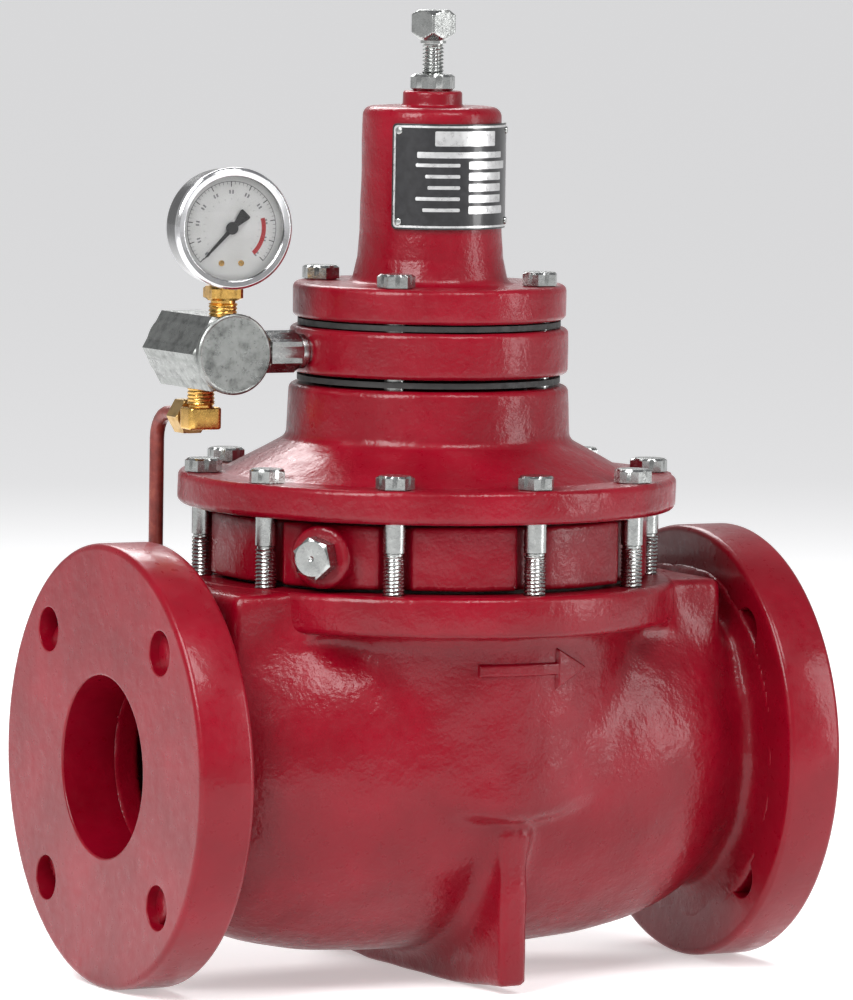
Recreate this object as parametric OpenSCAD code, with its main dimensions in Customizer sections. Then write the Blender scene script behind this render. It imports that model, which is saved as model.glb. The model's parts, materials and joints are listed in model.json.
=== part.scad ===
// Pilot-operated pressure reducing valve with a flanged globe body.
// The origin is the centre of the inlet flange face. +X is the flow, +Z runs up the stem.
// The valve stands on the lowest lines of its two pipe flanges and on its foot web.

/* [Body] */
// Distance between the two flange faces
face_to_face = 310; // [304:1:318]
// Outside diameter of the pipe flanges
flange_d = 190.5; // [188:0.5:194]
// Thickness of the pipe flanges
flange_t = 25.4; // [22:0.1:26]
// Diameter of the flow bore
bore_d = 78; // [72:1:80]
// Bolt circle diameter of the pipe flanges
bolt_circle_d = 152.4; // [150:0.1:154]
// Diameter of the four bolt holes in the inlet flange
bolt_hole_d = 19.05; // [16:0.05:19.05]
// Diameter of the four bolt holes in the outlet flange
outlet_bolt_hole_d = 19.5; // [19.4:0.05:19.8]
// Largest radius of the globe around the flow axis
globe_r = 84.5; // [83:0.5:86]
// Wall thickness of the globe
globe_wall = 9.5; // [8:0.5:11]
// Radius of the upright barrel around the seat
barrel_r = 92; // [90:0.5:94]
// Height of the body's top face above the flow axis
body_top = 77.5; // [76:0.5:79]
// Radius of the body's top flange and of the bonnet flange
top_flange_r = 108; // [107:0.5:110]
// Thickness of the body's top flange
top_flange_t = 17.5; // [16:0.5:18]

/* [Bonnet] */
// Height of the casing ring between the body and the bonnet
casing_h = 27.3; // [27.3:0.1:29]
// Thickness of the bonnet flange
bonnet_flange_t = 14.3; // [13:0.1:15]
// Height of the whole bonnet
bonnet_h = 52.9; // [52.9:0.1:55]
// Radius of the bonnet neck
neck_r = 60.5; // [60:0.1:62]
// Radius of the bonnet screw circle
screw_circle_r = 98; // [97.5:0.1:98.5]
// Number of bonnet screws
screw_count = 10; // [10:1:10]

/* [Pilot] */
// Height of the pilot body
pilot_h = 19.9; // [19.9:0.1:21]
// Radius of the pilot body
pilot_r = 60.3; // [60:0.1:61]
// Thickness of the pilot diaphragms
pilot_rubber_t = 2.4; // [2:0.1:2.4]
// Radius of the pilot screw circle
pilot_circle_r = 49.5; // [49:0.1:50]

/* [Spring housing] */
// Radius of the housing flange
housing_flange_r = 59.2; // [58:0.1:60]
// Thickness of the housing flange
housing_flange_t = 15; // [14:0.1:16]
// Height of the housing up to its shoulder
housing_h = 91.2; // [91.2:0.1:93]
// Radius of the housing at its top
housing_r = 30; // [30:0.1:30.3]

/* [Adjusting screw] */
// Length of thread that shows above the lock nut
thread_shown = 14.5; // [14:0.1:16]
// Width across the flats of the square head
head_w = 14; // [13:0.1:15]
// Height of the square head
head_h = 13.2; // [12:0.1:14]

/* [Gauge and filter] */
// Distance from the stem axis to the filter and gauge axis
filter_reach = 100; // [98:0.5:102]
// Radius of the gauge
gauge_r = 25; // [25:0.1:25.5]
// Height of the gauge centre above the filter axis
gauge_rise = 53.75; // [53.75:0.05:55]
// Angle by which the gauge face is turned towards the inlet
gauge_turn = -7; // [-12:1:0]
// Where the pointer rests, counted from the dial's three o'clock
pointer_rest = 226; // [220:1:230]

/* [Hidden] */
$fn = 96;
enamel = [0.62, 0.03, 0.1];
zinc = [0.75, 0.76, 0.77];
brass = [0.8, 0.6, 0.25];
steel = [0.6, 0.6, 0.62];
rubber = [0.08, 0.08, 0.08];
copper = [0.45, 0.13, 0.12];

slip = 0.05;
flange_r = flange_d / 2;
bore_r = bore_d / 2;
stem_x = face_to_face / 2;
globe_half = stem_x - flange_t;
globe_reach = 140;
globe_power = 3.2;
globe_steps = 32;
chin_curve_r = 93;
chin_z = -21;
shoulder_x = 118;
shoulder_y = 50;
foot_t = 12;
foot_y = 85;
foot_flat_y = 40;
foot_lift = 3.75;
bridge_t = 12;
bridge_x = 46;
bridge_wall = 8;
seat_hole_r = 33;
top_bore_r = 37.5;
cavity_half = 118;
upper_room_r = 80;

// Levels of the stack, each resting on the one before
gasket_t = 1.5;
rubber_t = 1.6;
casing_z = body_top + gasket_t;
casing_top = casing_z + casing_h;
bonnet_z = casing_top + rubber_t;
neck_top = bonnet_z + bonnet_h;
bonnet_roof_t = 11.8;
roof_z = neck_top - bonnet_roof_t;
lower_land_t = 1.3;
upper_land_t = 0.65;
lower_rubber_z = neck_top + lower_land_t;
pilot_z = lower_rubber_z + pilot_rubber_t + lower_land_t;
pilot_top = pilot_z + pilot_h;
upper_rubber_z = pilot_top + upper_land_t;
housing_z = upper_rubber_z + pilot_rubber_t + upper_land_t;
housing_seat = housing_z + housing_flange_t;
shoulder_z = housing_z + housing_h;
boss_h = 6.7;
boss_top = shoulder_z + boss_h;
nut_h = 7.2;
seal_r = 7.2;
seal_t = 0.9;
head_z = boss_top + nut_h + thread_shown;

casing_r = 96;
casing_room_r = 80;
casing_floor = 13;
screw_r = 4.76;
tap_r = screw_r + 0.09;
clear_r = 5.15;
scallop_r = 7.5;
hex_af = 14.3;
hex_h = 6.1;
port_angle = -144;
port_boss_r = 13.6;
port_face_r = 103;
port_r = 5.2;
land_r = 42;
stem_r = 8;
guide_r = 13;
seat_top = bridge_t / 2 + 8;
disc_z = seat_top + 0.2;
disc_t = 6;
plate_r = 54;
plate_t = 5;
hub_r = 5;
pilot_plate_r = 24;
spring_bore_r = 24;
button_z = shoulder_z - 18.6;
button_t = 5;
screw_tip_z = button_z + button_t + slip;
filter_z = pilot_z + pilot_h / 2;
filter_af = 31.75;
filter_front = -9;
filter_back = 42;
filter_bore_r = 13;
elbow_y = 20;
elbow_z = filter_z - 29.4;
elbow_drop = 4.8;
tube_r = 3.175;
tube_y = 62;
tube_bend_r = 12;
tube_hex = 14.3;
tube_boss_top = 60;
plate_angle = 120;
name_z = shoulder_z - 51.9;
name_h = 45.4;
name_r = 31.35;
name_t = 0.8;
rivet_r = 1;
bezel_r = gauge_r + 1.1;
dial_d = 10.3;
bezel_d = 14;
case_back = -6;

// ---------- shared shapes ----------

module at_stem(z = 0) {
  translate([stem_x, 0, z]) children();
}

module at_filter() {
  translate([stem_x - filter_reach, 0, filter_z]) children();
}

// The dial frame: its z axis points out of the dial and its y axis points up.
module at_gauge() {
  at_filter() translate([0, 0, gauge_rise]) rotate([0, 0, gauge_turn]) rotate([90, 0, 0]) children();
}

module around(count, r, turn = 0) {
  for (i = [0 : count - 1]) rotate([0, 0, turn + i * 360 / count]) translate([r, 0, 0]) children();
}

module tube(r, bore, h, z = 0) {
  translate([0, 0, z]) difference() {
    cylinder(r = r, h = h);
    translate([0, 0, -1]) cylinder(r = bore, h = h + 2);
  }
}

module hole(r, z0, z1) {
  translate([0, 0, z0]) cylinder(r = r, h = z1 - z0);
}

// A disc whose two rims are rounded with radius c
module soft_disc(r, h, c) {
  rotate_extrude() {
    square([r - c, h]);
    translate([0, c]) square([r, h - 2 * c]);
    for (z = [c, h - c]) translate([r - c, z]) circle(r = c, $fn = 32);
  }
}

module hex_bar(af, h) {
  cylinder(r = af / sqrt(3), h = h, $fn = 6);
}

// A hexagon with its upper corners chamfered at 30 degrees
module hex_head(af, h) {
  intersection() {
    hex_bar(af, h);
    cylinder(r1 = af / 2 - 0.2 + h * tan(60), r2 = af / 2 - 0.2, h = h);
  }
}

// A hex nut, chamfered above, on a stud of radius bore
module hex_nut(af, h, bore) {
  difference() {
    hex_head(af, h);
    translate([0, 0, -1]) cylinder(r = bore, h = h + 2);
  }
}

module o_ring(r, wire_r) {
  rotate_extrude() translate([r, 0]) circle(r = wire_r, $fn = 24);
}

function coil_height(u, turns, wire_d, free) =
  u < 1 ? u * wire_d
  : u > turns - 1 ? free - (turns - u) * wire_d
  : wire_d + (u - 1) / (turns - 2) * (free - 2 * wire_d);

// A compression spring with one closed turn at each end, standing from z0 to z1
module coil(r, wire_r, z0, z1, turns, steps = 16, sides = 8) {
  free = z1 - z0 - 2 * wire_r;
  rings = turns * steps;
  points = [for (i = [0 : rings])
    let (u = i / steps, a = 360 * u, z = z0 + wire_r + coil_height(u, turns, 2 * wire_r, free))
    for (j = [0 : sides - 1]) let (b = 360 * j / sides, rr = r + wire_r * cos(b))
      [rr * cos(a), rr * sin(a), z + wire_r * sin(b)]];
  walls = [for (i = [0 : rings - 1], j = [0 : sides - 1]) let (k = (j + 1) % sides)
    [i * sides + j, i * sides + k, (i + 1) * sides + k, (i + 1) * sides + j]];
  start = [[for (j = [sides - 1 : -1 : 0]) j]];
  end = [[for (j = [0 : sides - 1]) rings * sides + j]];
  polyhedron(points = points, faces = concat(walls, start, end), convexity = 10);
}

// ---------- body and seat ----------

function globe_profile(x, r, reach) = r * pow(1 - pow(abs(x) / reach, globe_power), 1 / globe_power);

// The globe: a barrel of revolution around the flow axis, with full shoulders
module globe(r, reach, half) {
  rotate([0, 90, 0]) rotate_extrude() polygon(concat(
    [[0, -half]],
    [for (i = [0 : globe_steps]) let (x = half * (2 * i / globe_steps - 1))
      [globe_profile(x, r, reach), x]],
    [[0, half]]));
}

module pipe_flange() {
  rotate([0, 90, 0]) soft_disc(flange_r, flange_t, 2.5);
}

// Upright barrel around the seat, its underside curved like a chin
module seat_barrel() {
  intersection() {
    hole(barrel_r, chin_z - 1, body_top - 5);
    translate([0, 0, chin_z + chin_curve_r]) rotate([90, 0, 0])
      cylinder(r = chin_curve_r, h = 250, center = true);
  }
}

// Cross web under the globe, which ends on the floor
module foot_web() {
  translate([-foot_t / 2, 0, 0]) rotate([90, 0, 90]) linear_extrude(foot_t) polygon([
    [-foot_y, -10], [-foot_y, -flange_r + foot_lift], [-foot_flat_y, -flange_r],
    [foot_flat_y, -flange_r], [foot_y, -flange_r + foot_lift], [foot_y, -10]]);
}

// Raised arrow on the front of the barrel, pointing along the flow
module flow_arrow() {
  intersection() {
    tube(barrel_r + 1.5, barrel_r - 2, 40, 25);
    translate([4, 0, 45]) rotate([90, 0, 0]) linear_extrude(120) polygon([
      [-30, -3], [10, -3], [10, -9], [28, 0], [10, 9], [10, 3], [-30, 3]]);
  }
}

// The bridge that separates the inlet room, below the seat, from the outlet room above it
module bridge() {
  translate([-bridge_x, -globe_r, -bridge_t / 2]) cube([2 * bridge_x, 2 * globe_r, bridge_t]);
  translate([-bridge_x, -globe_r, 0]) cube([bridge_wall, 2 * globe_r, globe_r]);
  translate([bridge_x - bridge_wall, -globe_r, -globe_r]) cube([bridge_wall, 2 * globe_r, globe_r]);
}

module flow_rooms() {
  difference() {
    globe(globe_r - globe_wall, globe_reach - 6, cavity_half);
    bridge();
  }
  intersection() {
    hole(upper_room_r, bridge_t / 2, body_top - top_flange_t - 2);
    translate([-bridge_x + bridge_wall, -100, 0]) cube([200, 200, 100]);
  }
}

module body() {
  color(enamel) difference() {
    union() {
      pipe_flange();
      translate([face_to_face - flange_t, 0, 0]) pipe_flange();
      at_stem() {
        globe(globe_r, globe_reach, globe_half + 0.5);
        seat_barrel();
        translate([0, 0, body_top - top_flange_t]) soft_disc(top_flange_r, top_flange_t, 2);
        translate([-shoulder_x, -shoulder_y, 0]) cube([2 * shoulder_x, 2 * shoulder_y, body_top]);
        foot_web();
        flow_arrow();
        translate([-filter_reach, tube_y, 20]) cylinder(r = 11, h = tube_boss_top - 20);
      }
    }
    at_stem() {
      translate([-globe_half, -globe_r, body_top]) cube([2 * globe_half, 2 * globe_r, globe_r]);
      flow_rooms();
      hole(top_bore_r, bridge_t, body_top + 1);
      hole(seat_hole_r, -bridge_t, bridge_t);
      around(screw_count, screw_circle_r, 90) hole(tap_r, body_top - top_flange_t - 3, body_top + 1);
      translate([-filter_reach, tube_y, 0]) {
        hole(port_r + slip, tube_boss_top - 14, tube_boss_top + 1);
        hole(3, 5, tube_boss_top);
      }
    }
    for (x = [-1, face_to_face - 41]) translate([x, 0, 0]) rotate([0, 90, 0])
      cylinder(r = bore_r, h = 42);
    for (end = [[-1, bolt_hole_d], [face_to_face - flange_t - 1, outlet_bolt_hole_d]])
      translate([end[0], 0, 0]) rotate([0, 90, 0])
        around(4, bolt_circle_d / 2, 45) cylinder(d = end[1], h = flange_t + 2);
  }
}

module seat_ring() {
  color(steel) at_stem() difference() {
    union() {
      hole(seat_hole_r - slip, -bridge_t / 2, bridge_t / 2);
      hole(top_bore_r - 0.5, bridge_t / 2, bridge_t / 2 + 6);
      hole(29, bridge_t / 2, seat_top);
    }
    hole(26, -bridge_t, bridge_t * 2);
    tube(seat_hole_r + 1, 30.4, 3, -1.5);
  }
}

module seat_o_ring() {
  color(rubber) at_stem() o_ring(31.65, 1.2);
}

// ---------- valve trim on the stem ----------

module disc_holder() {
  color(steel) at_stem() difference() {
    union() {
      hole(36, disc_z + 1, disc_z + disc_t + 10);
      hole(18, disc_z + disc_t + 10, disc_z + disc_t + 18);
    }
    hole(34.05, disc_z, disc_z + disc_t);
    hole(stem_r + slip, disc_z, disc_z + disc_t + 20);
  }
}

module seat_disc() {
  color(rubber) at_stem() tube(34, 20, disc_t, disc_z);
}

module ratio_plug() {
  color(steel) at_stem() difference() {
    union() {
      hole(25.5, -10, disc_z);
      hole(19.95, disc_z, disc_z + disc_t);
    }
    hole(stem_r + slip, -11, disc_z + disc_t + 1);
    around(4, 25.5) hole(6, -11, 6);
  }
}

module stem() {
  color(steel) at_stem() {
    hole(stem_r, -24, bonnet_z + plate_t + 7.6);
    tube(12, stem_r - 1, 12, disc_z + disc_t + 18);
  }
}

module stem_nut() {
  color(zinc) at_stem(-10) rotate([180, 0, 0]) hex_nut(24, 11, stem_r + slip);
}

// ---------- lower casing and main diaphragm ----------

module casing_gasket() {
  color(rubber) at_stem() tube(88, 40, gasket_t, body_top);
}

// Ring with a guide web and one plugged boss; its rim is scalloped round the bonnet screws
module lower_casing() {
  color(enamel) at_stem() difference() {
    union() {
      hole(casing_r, casing_z, casing_top);
      hole(top_bore_r - 0.1, casing_z - 10, casing_z + 1);
      rotate([0, 0, port_angle]) translate([0, 0, casing_z + casing_h / 2]) rotate([0, 90, 0])
        hole(port_boss_r, 60, port_face_r);
    }
    around(screw_count, screw_circle_r, 90) hole(scallop_r, casing_z - 1, casing_top + 1);
    hole(casing_room_r, casing_z + casing_floor, casing_top + 1);
    hole(guide_r + slip, casing_z - 11, casing_top);
    rotate([0, 0, port_angle]) translate([0, 0, casing_z + casing_h / 2]) rotate([0, 90, 0])
      hole(port_r + slip, 60, port_face_r + 1);
  }
}

module port_plug() {
  color(zinc) at_stem(casing_z + casing_h / 2) rotate([0, 0, port_angle]) rotate([0, 90, 0]) {
    hole(port_r, port_face_r - 14, port_face_r);
    translate([0, 0, port_face_r]) hex_head(15.9, 8);
  }
}

module stem_guide() {
  color(brass) at_stem() difference() {
    union() {
      hole(guide_r, casing_z - 10, casing_z + casing_floor);
      hole(17, casing_z + casing_floor, casing_z + casing_floor + 2.5);
    }
    hole(stem_r + slip, casing_z - 11, casing_top);
    tube(10.6, stem_r, 2.6, casing_z + 2);
  }
}

module stem_o_ring() {
  color(rubber) at_stem(casing_z + 3.3) o_ring(9.35, 1.2);
}

module main_diaphragm() {
  color(rubber) at_stem() tube(90, stem_r + 0.1, rubber_t, casing_top);
}

module lower_diaphragm_plate() {
  color(steel) at_stem() difference() {
    union() {
      hole(plate_r, casing_top - plate_t, casing_top);
      hole(14, casing_z + casing_floor + 4, casing_top);
    }
    hole(stem_r + slip, casing_z, casing_top + 1);
  }
}

module upper_diaphragm_plate() {
  color(steel) at_stem(bonnet_z) {
    tube(plate_r, stem_r + slip, plate_t);
    tube(40, 37, 3, plate_t - 0.5);
  }
}

module diaphragm_nut() {
  color(zinc) at_stem(bonnet_z + plate_t) hex_nut(27, 7, stem_r + slip);
}

module main_spring() {
  color(steel) at_stem() coil(32, 1.6, bonnet_z + plate_t, roof_z, 5, 24);
}

// ---------- bonnet ----------

module bonnet() {
  color(enamel) at_stem() difference() {
    union() {
      translate([0, 0, bonnet_z]) soft_disc(top_flange_r, bonnet_flange_t, 3);
      translate([0, 0, bonnet_z]) rotate_extrude() {
        polygon([[0, 2], [92, 2], [90, bonnet_flange_t], [86.5, bonnet_flange_t + 3], [neck_r, 30.5],
          [neck_r, bonnet_h - 3], [0, bonnet_h - 3]]);
        translate([neck_r - 3, bonnet_h - 3]) circle(r = 3, $fn = 32);
        square([neck_r - 3, bonnet_h]);
      }
      hole(land_r, neck_top - 1, lower_rubber_z);
    }
    translate([0, 0, bonnet_z]) rotate_extrude() polygon([[0, -2], [82, -2], [82, 3], [76, 10],
      [60, 22], [47, 30], [47, bonnet_h - bonnet_roof_t], [0, bonnet_h - bonnet_roof_t]]);
    hole(30, roof_z + 5, lower_rubber_z + 1);
    hole(9, roof_z - 1, roof_z + 6);
    around(screw_count, screw_circle_r, 90) {
      hole(clear_r, bonnet_z - 1, bonnet_z + 20);
      hole(10.5, bonnet_z + bonnet_flange_t, bonnet_z + 30);
    }
    around(4, pilot_circle_r, 45) hole(tap_r, roof_z + 1, neck_top + 5);
  }
}

module bonnet_screws() {
  color(zinc) at_stem(bonnet_z + bonnet_flange_t) for (i = [0 : screw_count - 1])
    rotate([0, 0, 90 + i * 360 / screw_count]) translate([screw_circle_r, 0, 0]) {
      rotate([0, 0, 23 * i]) hex_head(hex_af, hex_h);
      hole(screw_r, -(bonnet_z + bonnet_flange_t - body_top) - 15, 0.5);
    }
}

// ---------- pilot ----------

module pilot_seat() {
  color(steel) at_stem() difference() {
    union() {
      hole(9 - slip, roof_z, roof_z + 5);
      hole(11, roof_z + 5, roof_z + 7);
    }
    hole(3, roof_z - 1, roof_z + 8);
  }
}

module pilot_cage() {
  color(steel) at_stem() difference() {
    hole(11, roof_z - 12.5, roof_z);
    hole(7, roof_z - 10.5, roof_z + 1);
    around(3, 9) hole(3, roof_z - 8, roof_z - 3);
  }
}

module pilot_plug() {
  color(steel) at_stem() {
    hole(5.5, roof_z - 5, roof_z - 0.8);
    hole(1.8, roof_z - 1, lower_rubber_z - 5.4);
  }
}

module pilot_plug_spring() {
  color(steel) at_stem() coil(4, 0.6, roof_z - 10.5, roof_z - 5, 4, 12, 6);
}

module pilot_rubber(z) {
  color(rubber) at_stem(z) difference() {
    cylinder(r = 57, h = pilot_rubber_t);
    hole(hub_r + slip, -1, pilot_rubber_t + 1);
    around(4, pilot_circle_r, 45) hole(clear_r, -1, pilot_rubber_t + 1);
  }
}

module lower_pilot_diaphragm() {
  pilot_rubber(lower_rubber_z);
}

module upper_pilot_diaphragm() {
  pilot_rubber(upper_rubber_z);
}

module pilot_body() {
  color(enamel) at_stem() difference() {
    union() {
      translate([0, 0, pilot_z]) soft_disc(pilot_r, pilot_h, 1.5);
      hole(land_r, pilot_z - lower_land_t, pilot_top + upper_land_t);
    }
    hole(34, pilot_z - 5, pilot_top + 5);
    around(4, pilot_circle_r, 45) hole(clear_r, pilot_z - 5, pilot_top + 5);
    translate([0, 0, pilot_z + pilot_h / 2]) rotate([0, -90, 0]) {
      hole(3.5, 30, 60);
      hole(6.6, pilot_r - 12, pilot_r + 1);
    }
  }
}

// Spool that ties the two pilot diaphragms together
module pilot_hub() {
  color(steel) at_stem() {
    hole(pilot_plate_r, lower_rubber_z + pilot_rubber_t, lower_rubber_z + pilot_rubber_t + 2);
    hole(12, lower_rubber_z + pilot_rubber_t, upper_rubber_z);
    hole(pilot_plate_r, upper_rubber_z - 2.4, upper_rubber_z);
    hole(hub_r, lower_rubber_z - 5, upper_rubber_z + 9.5);
  }
}

module lower_pilot_washer() {
  color(steel) at_stem() tube(22, hub_r + slip, 2, lower_rubber_z - 2);
}

module upper_pilot_plate() {
  color(steel) at_stem(upper_rubber_z + pilot_rubber_t) {
    tube(22.5, hub_r + slip, 3.25);
    tube(13.5, hub_r + slip, 5);
  }
}

module hub_nut() {
  color(zinc) at_stem(lower_rubber_z - 2) rotate([180, 0, 0]) hex_nut(13, 3, hub_r + slip);
}

// ---------- spring housing ----------

module spring_housing() {
  color(enamel) at_stem() difference() {
    union() {
      hole(land_r, upper_rubber_z + pilot_rubber_t, housing_z + 1);
      translate([0, 0, housing_z]) soft_disc(housing_flange_r, housing_flange_t, 2);
      rotate_extrude() {
        polygon([[0, housing_seat - 1], [35, housing_seat - 1], [33.2, housing_seat + 3],
          [31.6, housing_seat + 10], [housing_r + 0.8, housing_seat + 20],
          [housing_r, housing_seat + 45], [housing_r, shoulder_z - 4], [0, shoulder_z - 4]]);
        translate([housing_r - 4, shoulder_z - 4]) circle(r = 4, $fn = 32);
        translate([0, shoulder_z - 10]) square([housing_r - 4, 10]);
        translate([0, shoulder_z - 1]) square([13, boss_h - 0.5]);
        translate([11.5, boss_top - 1.5]) circle(r = 1.5, $fn = 32);
        translate([0, shoulder_z - 1]) square([11.5, boss_h + 1]);
      }
    }
    hole(spring_bore_r, 0, shoulder_z - 8.6);
    hole(screw_r + 0.07, shoulder_z - 10, boss_top + 1);
    around(4, pilot_circle_r, 45) hole(clear_r, housing_z - 5, housing_seat + 1);
    translate([0, 0, housing_seat + 8]) rotate([-90, 0, 0]) hole(2.4, 10, 40);
    translate([0, 0, name_z]) at_rivets() hole(rivet_r + slip, 26, 35);
  }
}

module pilot_screws() {
  color(zinc) at_stem(housing_seat) for (i = [0 : 3])
    rotate([0, 0, 45 + 90 * i]) translate([pilot_circle_r, 0, 0]) {
      rotate([0, 0, 19 * i + 8]) hex_head(hex_af, hex_h);
      hole(screw_r, -(housing_seat - roof_z) + 1.5, 0.5);
    }
}

module adjusting_spring() {
  color(steel) at_stem() coil(17.5, 2.4, upper_rubber_z + pilot_rubber_t + 3.25, button_z, 8, 24);
}

module spring_button() {
  color(steel) at_stem(button_z) {
    hole(22.5, 0, button_t);
    hole(13.5, -5, 0.5);
  }
}

// Square-headed adjusting screw; both ends of the head are chamfered
module adjusting_screw() {
  color(zinc) at_stem() {
    hole(screw_r, screw_tip_z, head_z + 0.5);
    hole(5.6, head_z - 1.5, head_z + 0.5);
    intersection() {
      translate([0, 0, head_z + head_h / 2]) rotate([0, 0, 16.6])
        cube([head_w, head_w, head_h], center = true);
      hole(head_w / sqrt(2) - 0.4, head_z, head_z + head_h);
      translate([0, 0, head_z]) cylinder(r1 = 5.6, r2 = 5.6 + 1.11 * head_h, h = head_h);
      translate([0, 0, head_z]) cylinder(r1 = 6.8 + 1.23 * head_h, r2 = 6.8, h = head_h);
    }
  }
}

module lock_nut() {
  color(zinc) at_stem(boss_top) difference() {
    rotate([0, 0, -10]) hex_nut(17.5, nut_h, screw_r + 0.07);
    hole(seal_r + slip, -1, seal_t);
  }
}

// Fibre ring in the underside of the lock nut
module lock_nut_seal() {
  color("gray") at_stem(boss_top) tube(seal_r, screw_r + 0.1, seal_t);
}

// The four rivet axes, each pointing out of the housing
module at_rivets() {
  for (a = [-0.45, 0.45], z = [3.2, name_h - 3.2])
    rotate([0, 0, -90 + a * plate_angle]) translate([0, 0, z]) rotate([0, 90, 0]) children();
}

// Curved plate, centred on the front of the housing
module nameplate() {
  color("dimgray") at_stem(name_z) difference() {
    rotate([0, 0, -90 - plate_angle / 2]) rotate_extrude(angle = plate_angle)
      translate([name_r, 0]) square([name_t, name_h]);
    at_rivets() hole(rivet_r + slip, 25, 40);
  }
}

module nameplate_rivets() {
  color(zinc) at_stem(name_z) at_rivets() {
    hole(rivet_r, 27, name_r + name_t + 0.1);
    hole(1.7, name_r + name_t, name_r + name_t + 0.9);
  }
}

// ---------- supply filter ----------

module hex_nipple() {
  color(zinc) at_filter() rotate([0, 90, 0]) difference() {
    union() {
      hole(6.5, filter_af / 2 - 2, filter_reach - pilot_r + 11);
      translate([0, 0, filter_af / 2 + 3]) rotate([0, 0, 30])
        hex_bar(15.9, filter_reach - pilot_r - filter_af / 2 - 4);
    }
    hole(3.5, 0, filter_reach);
  }
}

// Hex bar with a drilled chamber, flats facing along the pipe
module filter_body() {
  color(zinc) at_filter() difference() {
    rotate([-90, 0, 0]) rotate([0, 0, 90]) translate([0, 0, filter_front])
      hex_bar(filter_af, filter_back - filter_front);
    rotate([-90, 0, 0]) hole(filter_bore_r, filter_front - 1, filter_back - 6);
    hole(6, 0, 30);
    hole(8.5, 15.4, 30);
    rotate([0, 90, 0]) hole(6.55, 0, 30);
    translate([0, elbow_y, 0]) {
      hole(5.95, -30, 0);
      hole(8, -30, -16);
    }
  }
}

module filter_cap() {
  color(zinc) at_filter() translate([0, filter_front, 0]) rotate([90, 0, 0]) {
    translate([0, 0, 0]) soft_disc(17.4, 3, 0.6);
    hole(filter_bore_r - 0.1, -5, 1);
  }
}

module filter_element() {
  color("gainsboro") at_filter() rotate([-90, 0, 0]) tube(11, 10, 30, filter_front + 12);
}

// ---------- pressure gauge ----------

module gauge_socket() {
  color(brass) {
    at_filter() rotate([0, 0, gauge_turn]) {
      hole(5.95, 12.5, 22.5);
      translate([-7.15, -7.15, 22.5]) cube([14.3, 14.3, 6]);
    }
    at_gauge() translate([-5, -gauge_r - 0.5, -4]) cube([10, 9.5, 8]);
  }
}

module gauge_case() {
  color("black") at_gauge() difference() {
    translate([0, 0, case_back]) union() {
      soft_disc(gauge_r - 0.1, 12, 3);
      hole(gauge_r - 0.1, 5, dial_d - case_back);
      hole(gauge_r - 0.5, 5, dial_d - case_back + 1);
    }
    hole(gauge_r - 1.6, case_back + 1.2, 20);
    translate([-5.2, -gauge_r - 1, -4.2]) cube([10.4, 6, 8.4]);
    rotate([90, 0, 0]) hole(2, 0, 1);
  }
}

module gauge_bezel() {
  color("silver") at_gauge() {
    tube(bezel_r, gauge_r - 0.45, bezel_d - dial_d, dial_d);
    tube(bezel_r, gauge_r - 2.8, 1.2, bezel_d - 1.2);
  }
}

module gauge_window() {
  color([0.85, 0.9, 0.95, 0.3]) at_gauge() hole(gauge_r - 0.6, bezel_d - 2.4, bezel_d - 1.2);
}

module gauge_dial() {
  color("white") at_gauge() tube(gauge_r - 1.8, 1.6, 0.6, dial_d - 1.6);
}

// Pointer on its spindle; rests at the zero mark
module gauge_pointer() {
  color("black") at_gauge() rotate([0, 0, pointer_rest]) {
    hole(0.9, 2, dial_d + 0.6);
    hole(2.6, dial_d - 0.4, dial_d + 0.6);
    translate([0, 0, dial_d - 0.2]) linear_extrude(0.5) polygon([
      [-9, -2.2], [-8.2, -2.6], [-2, -1], [15.5, -0.35], [18.6, 0],
      [15.5, 0.35], [-2, 1], [-8.2, 2.6], [-9, 2.2]]);
  }
}

module gauge_dial_screws() {
  color(brass) at_gauge() for (x = [-4.4, 4.4]) translate([x, -14.8, 0])
    hole(1.3, dial_d - 1, dial_d - 0.4);
}

module gauge_movement() {
  color(brass) at_gauge() difference() {
    translate([-6, -9, -2]) cube([12, 14, 8]);
    hole(1, 1, 12);
  }
}

module bourdon_tube() {
  color(brass) at_gauge() rotate([0, 0, -70]) rotate_extrude(angle = 245)
    translate([16, -2]) square([1.8, 6]);
}

// ---------- supply tube ----------

module tube_elbow() {
  color(brass) at_filter() translate([0, elbow_y, 0]) difference() {
    union() {
      hole(5.9, elbow_z - filter_z, -filter_bore_r - 1);
      translate([-7.7, -6, elbow_z - filter_z - elbow_drop]) cube([15.4, 12, 2 * elbow_drop]);
      translate([0, 0, elbow_z - filter_z]) rotate([-90, 0, 0]) hole(5, 0, 15);
    }
    hole(2.4, elbow_z - filter_z, 0);
    translate([0, 0, elbow_z - filter_z]) rotate([-90, 0, 0]) {
      hole(2.4, 0, 16);
      hole(tube_r + slip, 10, 16);
    }
  }
}

module tube_nut() {
  difference() {
    hex_head(tube_hex, 11);
    hole(5 + slip, -1, 8);
    hole(tube_r + slip, 7, 12);
  }
}

module elbow_nut() {
  color(brass) at_filter() translate([0, elbow_y + 7, elbow_z - filter_z])
    rotate([-90, 0, 0]) tube_nut();
}

// Bent tube: along +Y from the elbow, then straight down to the body connector
module supply_tube() {
  color(copper) translate([stem_x - filter_reach, 0, 0]) {
    translate([0, 0, elbow_z]) rotate([-90, 0, 0]) hole(tube_r, elbow_y + 10.5, tube_y - tube_bend_r);
    translate([0, tube_y - tube_bend_r, elbow_z - tube_bend_r]) rotate([90, 0, 90])
      rotate_extrude(angle = 90) translate([tube_bend_r, 0]) circle(r = tube_r, $fn = 32);
    translate([0, tube_y, 0]) hole(tube_r, tube_boss_top + 6.5, elbow_z - tube_bend_r);
  }
}

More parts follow.
